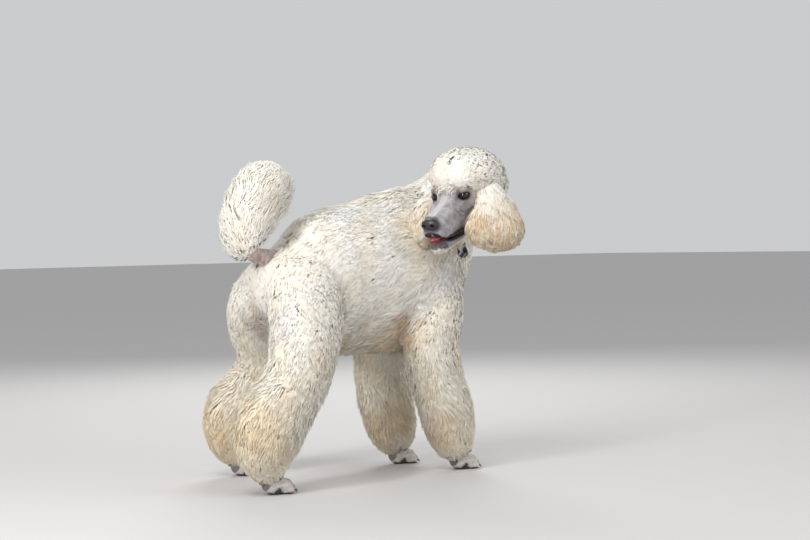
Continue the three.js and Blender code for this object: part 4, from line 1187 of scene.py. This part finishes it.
def face_hair_tint(p):
    colour = face_tint(FACE_AT + p @ HEAD_AXES)
    pale = np.maximum(smoothstep(8, 20, p[:, 2]) * smoothstep(40, 20, p[:, 0]), smoothstep(-8, -34, p[:, 0]))
    pale = pale * (0.85 - 0.75 * patch_at(p, (9, 34, 16), (13, 10, 8), 0.3, 1.2))
    pale = np.maximum(pale, smoothstep(-94, -99, p[:, 2]))
    return 1.08 * laid(colour, [0.80, 0.75, 0.66], pale)


def face_hair_keep(p):
    return (face_tint(FACE_AT + p @ HEAD_AXES).mean(1) > 0.10) & (p[:, 0] > -70) & (p[:, 2] > -112)


face_hair = short_hair("face_hair", head, FACE_AT, HEAD_AXES, FACE_HAIRS, face_hair_way, face_hair_size,
                       face_hair_keep, face_hair_tint, shaved_face)


def claws_of(name, at, yaw):
    origin, axes = foot_frame(at, yaw)
    points, triangles = [], []
    sides, rings = 12, 9
    for f, l, turn in TOES:
        way = math.radians(turn)
        out = np.array([math.cos(way), math.sin(way), 0.0])
        across = np.cross(UP, out)
        base = len(points)
        for i in range(rings):
            t = i / (rings - 1)
            middle = np.array([f, l * 1.06, 12.0]) + out * (8 + 14.5 * t) + UP * (0.6 - 8.6 * t**2)
            r = 3.6 * (1 - 0.7 * t**1.8)
            for j in range(sides):
                a = 2 * math.pi * j / sides
                points.append(middle + UP * r * math.sin(a) + across * 0.72 * r * math.cos(a))
        points.append(np.array([f, l * 1.06, 12.0]) + out * 23.2 - UP * 9.0)
        tip = len(points) - 1
        for j in range(sides):
            k = (j + 1) % sides
            for i in range(rings - 1):
                a, b = base + i * sides + j, base + i * sides + k
                triangles += [(a, a + sides, b + sides), (a, b + sides, b)]
            triangles.append((base + (rings - 1) * sides + j, tip, base + (rings - 1) * sides + k))
            if j > 1:
                triangles.append((base, base + j, base + j - 1))
    placed = origin + np.array(points) @ axes
    return mesh_object("claws_" + name, claw_horn, placed, triangles=np.array(triangles))


claw_horn, tree, shader = material("claw horn")
streaks = node(tree, "ShaderNodeTexNoise", Scale=420.0, Detail=3.0)
add_texture(tree, shader, streaks, "Fac", ((0.018, 0.015, 0.015), (0.10, 0.085, 0.08)))
surface_values(shader, Roughness=0.32)
claws = {name: claws_of(name, at, yaw) for name, (at, yaw) in FEET.items()}


def head_piece(name, sheet, field):
    """A piece shaped on a grid in the head's own directions."""
    points, quads = field.surface()
    return mesh_object(name, sheet, FACE_AT + points @ HEAD_AXES, quads)


def nose_form():
    """Nose leather: its pad and wings, the nostrils with their slits, and the groove between them."""
    field = Field([96, -26, -56], [130, 26, -8], 0.8)
    grid = field.grid_points()
    sided = (grid[0], np.abs(grid[1]), grid[2])
    leather = bean(grid, (112, 0, -26), (11.5, 20, 12.5))
    leather = melt(leather, bean(sided, (113, 12, -30), (10, 9.5, 9.5)), 5)
    leather = melt(leather, bean(grid, (113, 0, -42), (7, 7, 8)), 4)
    leather = carve(leather, bean(sided, (122.5, 11.2, -28.0), (9, 5.0, 4.0)), 1.6)
    leather = carve(leather, rod(sided, (121, 13, -31), (114, 20.5, -34.5), 2.0, 1.3), 1.4)
    leather = carve(leather, rod(grid, (125, 0, -30), (120, 0, -50), 0.9, 0.9), 1.4)
    field.values = leather.astype(np.float32)
    return field


nose_leather, tree, shader = material("nose leather")
cells = node(tree, "ShaderNodeTexVoronoi", Scale=620.0)
add_texture(tree, shader, cells, "Distance", ((0.008, 0.008, 0.009), (0.034, 0.031, 0.035)), (0.55, 0.0006))
surface_values(shader, Roughness=0.46, Coat_Weight=0.12)
nose = head_piece("nose_leather", nose_leather, nose_form())


# Eyes: a ball with a slightly fuller cornea, painted by rings round its gaze
def eye_of(hand):
    sign = 1 if hand == "left" else -1
    rings, sides = 40, 48
    way = unit(np.array([OUT[0], OUT[1] * sign, -0.03]))
    across = unit(np.cross(UP, way))
    upward = np.cross(way, across)
    t = np.linspace(0, math.pi, rings + 1)[1:-1]
    phi = np.arange(sides) * 2 * math.pi / sides
    bulge = EYE_RADIUS - 0.25 + 0.7 * np.exp(-(t / 0.42) ** 2)
    ring = np.cos(t)[:, None, None] * way + np.sin(t)[:, None, None] * (
        np.cos(phi)[None, :, None] * across + np.sin(phi)[None, :, None] * upward)
    points = (ring * bulge[:, None, None]).reshape(-1, 3)
    points = np.vstack([points, way * (EYE_RADIUS + 0.45), -way * (EYE_RADIUS - 0.25)])
    i, j = np.meshgrid(np.arange(rings - 2), np.arange(sides), indexing="ij")
    k = (j + 1) % sides
    below = (i + 1) * sides
    quads = np.stack([i * sides + j, below + j, below + k, i * sides + k], -1).reshape(-1, 4)
    j = np.arange(sides)
    k = (j + 1) % sides
    n = (rings - 1) * sides
    caps = np.vstack([np.stack([np.full(sides, n), j, k], -1),
                      np.stack([np.full(sides, n + 1), n - sides + k, n - sides + j], -1)])
    centre = np.array([EYE_SET[0], EYE_SET[1] * sign, EYE_SET[2]])
    made = mesh_object("eye_ball_" + hand, eye_surface, FACE_AT + (centre + points) @ HEAD_AXES, quads, caps)
    angle = np.concatenate([np.repeat(t, sides), [0.0, math.pi]])
    fibres = 0.5 + 0.5 * np.sin(np.concatenate([np.tile(phi, rings - 1), [0, 0]]) * 37)
    pupil = np.array([0.004, 0.003, 0.003])
    iris = np.array([0.020, 0.0085, 0.005]) * (0.8 + 0.35 * fibres)[:, None]
    edge = np.array([0.010, 0.006, 0.005])
    white = np.array([0.07, 0.05, 0.045])
    colour = pupil
    for tone, start, end in ((iris, 0.23, 0.28), (edge, 0.58, 0.66), (white, 0.74, 0.86)):
        colour = laid(colour, tone, smoothstep(start, end, angle))
    paint(made, "tint", colour)
    return made


eye_surface, tree, shader = material("eye surface")
tint_node = node(tree, "ShaderNodeVertexColor", layer_name="tint")
tree.links.new(tint_node.outputs["Color"], shader.inputs["Base Color"])
surface_values(shader, Roughness=0.06, Specular_IOR_Level=0.3, Coat_Weight=0.6, Coat_Roughness=0.02)
eyes = {hand: eye_of(hand) for hand in ("left", "right")}


def tongue_form():
    """Tongue, lying in the lower jaw, with its middle groove."""
    field = Field([6, -22, -96], [122, 22, -56], 0.9)
    grid = field.grid_points()
    flesh = bean(grid, (60, 0, -78), (54, 13.0, 6.5))
    flesh = melt(flesh, bean(grid, (100, 0, -65), (21, 13.0, 6)), 8)
    flesh = carve(flesh, rod(grid, (30, 0, -69), (109, 0, -63), 1.1, 0.6), 2.5)
    field.values = flesh.astype(np.float32)
    return field


tongue_skin, tree, shader = material("tongue")
buds = node(tree, "ShaderNodeTexNoise", Scale=900.0, Detail=3.0)
add_texture(tree, shader, buds, "Fac", ((0.15, 0.022, 0.03), (0.36, 0.10, 0.12)), (0.4, 0.0005))
surface_values(shader, Roughness=0.3, Coat_Weight=0.4)
tongue = head_piece("tongue_flesh", tongue_skin, tongue_form())


# Collar: a flat woven band round the neck, seen at the throat
def collar_band():
    sides = 160
    half, thick = 6.5, 1.5
    profile = [(-thick, -half), (thick, -half), (thick * 1.25, 0), (thick, half), (-thick, half), (-thick, 0)]
    corners = len(profile)
    points, turns = [], []
    for i in range(sides):
        a = 2 * math.pi * i / sides
        turned = abs(math.remainder(a - 1.75, 2 * math.pi))
        sunk = 1 - 0.3 * smoothstep(0.22, 0.62, turned)
        across, down = COLLAR_ACROSS * math.cos(a), COLLAR_DOWN * math.sin(a)
        way = (across * COLLAR_HALF_WIDE + down * COLLAR_HALF_DEEP) * sunk
        out = unit(across / COLLAR_HALF_WIDE + down / COLLAR_HALF_DEEP)
        for t, h in profile:
            points.append(COLLAR_AT + way + out * t + COLLAR_AXIS * h)
            turns.append(a / (2 * math.pi))
    quads = []
    for i in range(sides):
        for j in range(corners):
            this, following, m = i * corners, (i + 1) % sides * corners, (j + 1) % corners
            quads.append((this + j, following + j, following + m, this + m))
    made = mesh_object("collar_band", collar_webbing, np.array(points), np.array(quads))
    stripe = np.abs(((np.array(turns) * 26) % 1) - 0.5) * 2
    paint(made, "tint", np.where((stripe > 0.72)[:, None], [0.42, 0.43, 0.46], [0.035, 0.042, 0.062]))
    return made


collar_webbing, tree, shader = material("collar webbing")
tint_node = node(tree, "ShaderNodeVertexColor", layer_name="tint")
tree.links.new(tint_node.outputs["Color"], shader.inputs["Base Color"])
weave = node(tree, "ShaderNodeTexWave", Scale=520.0)
add_texture(tree, shader, weave, "Fac", bump=(0.5, 0.0006))
surface_values(shader, Roughness=0.8)
collar = collar_band()

# Every piece rides on the one body and stands for its solids
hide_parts("head", "jaw")
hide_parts("torso", "neck", "foreleg_left", "foreleg_right", "thigh_left", "thigh_right", "shank_left",
            "shank_right", "hock_left", "hock_right", "tail_root", "tail_plume")
for hand, pieces in ear_pieces.items():
    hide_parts("ear_" + hand)
    for piece in pieces:
        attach(piece, "root")
for piece in coats:
    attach(piece, "root")
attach(face_hair, "root")
for name in FEET:
    foot, hair = feet[name]
    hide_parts(name)
    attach(hair, "root")
    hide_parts(*["claw_%s_%d" % (name, n) for n in (1, 2, 3, 4)])
    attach(foot, "root")
    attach(claws[name], "root")
for hand, ball_piece in eyes.items():
    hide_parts("eye_" + hand)
    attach(ball_piece, "root")
for piece, solid, slot in (
    (nose, "nose", "nose_leather"),
    (tongue, "tongue", "tongue_skin"),
    (collar, "collar", "collar_webbing"),
):
    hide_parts(solid)
for piece in (face_skin, body, nose, tongue, collar):
    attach(piece, "root")

# Floor, light and camera
bpy.ops.mesh.primitive_plane_add(size=80, location=(0, 0, 0))
floor = bpy.context.object
floor.name = "studio_floor"
pale, tree, shader = material("pale floor")
surface_values(shader, Base_Color=(0.56, 0.55, 0.54, 1), Roughness=0.9)
floor.data.materials.append(pale)

bpy.context.scene.view_settings.view_transform = "Standard"
world = bpy.data.worlds.new("studio")
bpy.context.scene.world = world
world.use_nodes = True
world.node_tree.nodes["Background"].inputs["Color"].default_value = (0.90, 0.91, 0.93, 1)
world.node_tree.nodes["Background"].inputs["Strength"].default_value = 0.66


def soft_light(name, at, aim, size, power, colour):
    lamp = bpy.data.lights.new(name, "AREA")
    lamp.shape = "DISK"
    lamp.size = size
    lamp.energy = power
    lamp.color = colour
    obj = bpy.data.objects.new(name, lamp)
    obj.location = at
    obj.rotation_euler = (Vector(aim) - Vector(at)).to_track_quat("-Z", "Y").to_euler()
    bpy.context.scene.collection.objects.link(obj)


soft_light("key light", (-2.2, -1.4, 3.2), (0, 0, 0.4), 1.8, 60, (1.0, 0.98, 0.95))
soft_light("eye light", (-3.0, -0.8, 1.35), (0.15, -0.19, 0.66), 0.6, 42, (1.0, 1.0, 1.0))
soft_light("fill light", (1.6, -3.4, 1.8), (0, 0, 0.4), 2.4, 30, (0.95, 0.97, 1.0))
soft_light("rim light", (1.8, 2.6, 2.6), (0, 0, 0.5), 1.8, 60, (1.0, 1.0, 1.0))

# The camera stands where the picture was taken: heading, tilt and roll come from its horizon
CAMERA_AT = np.array([-2807.0, -3486.0, 562.0])
HEADING = math.radians(38.0)
ROLL = math.radians(1.1)
HORIZON_PIXELS_UP = 30.0
FOCAL_PIXELS = 1800.0
TILT = math.atan(HORIZON_PIXELS_UP / FOCAL_PIXELS)
level_right = np.array([math.cos(HEADING), -math.sin(HEADING), 0.0])
level_ahead = np.array([math.sin(HEADING), math.cos(HEADING), 0.0])
ahead_way = level_ahead * math.cos(TILT) - UP * math.sin(TILT)
up_way = level_ahead * math.sin(TILT) + UP * math.cos(TILT)
right_way = level_right * math.cos(ROLL) - up_way * math.sin(ROLL)
top_way = level_right * math.sin(ROLL) + up_way * math.cos(ROLL)
camera_data = bpy.data.cameras.new("camera")
camera_data.sensor_width = 36.0
camera_data.lens = 80.0
camera = bpy.data.objects.new("camera", camera_data)
pose = Matrix([list(row) for row in np.stack([right_way, top_way, -ahead_way], 1)]).to_4x4()
pose.translation = Vector((CAMERA_AT + SHIFT) * 0.001)
camera.matrix_world = pose
bpy.context.scene.collection.objects.link(camera)
bpy.context.scene.camera = camera
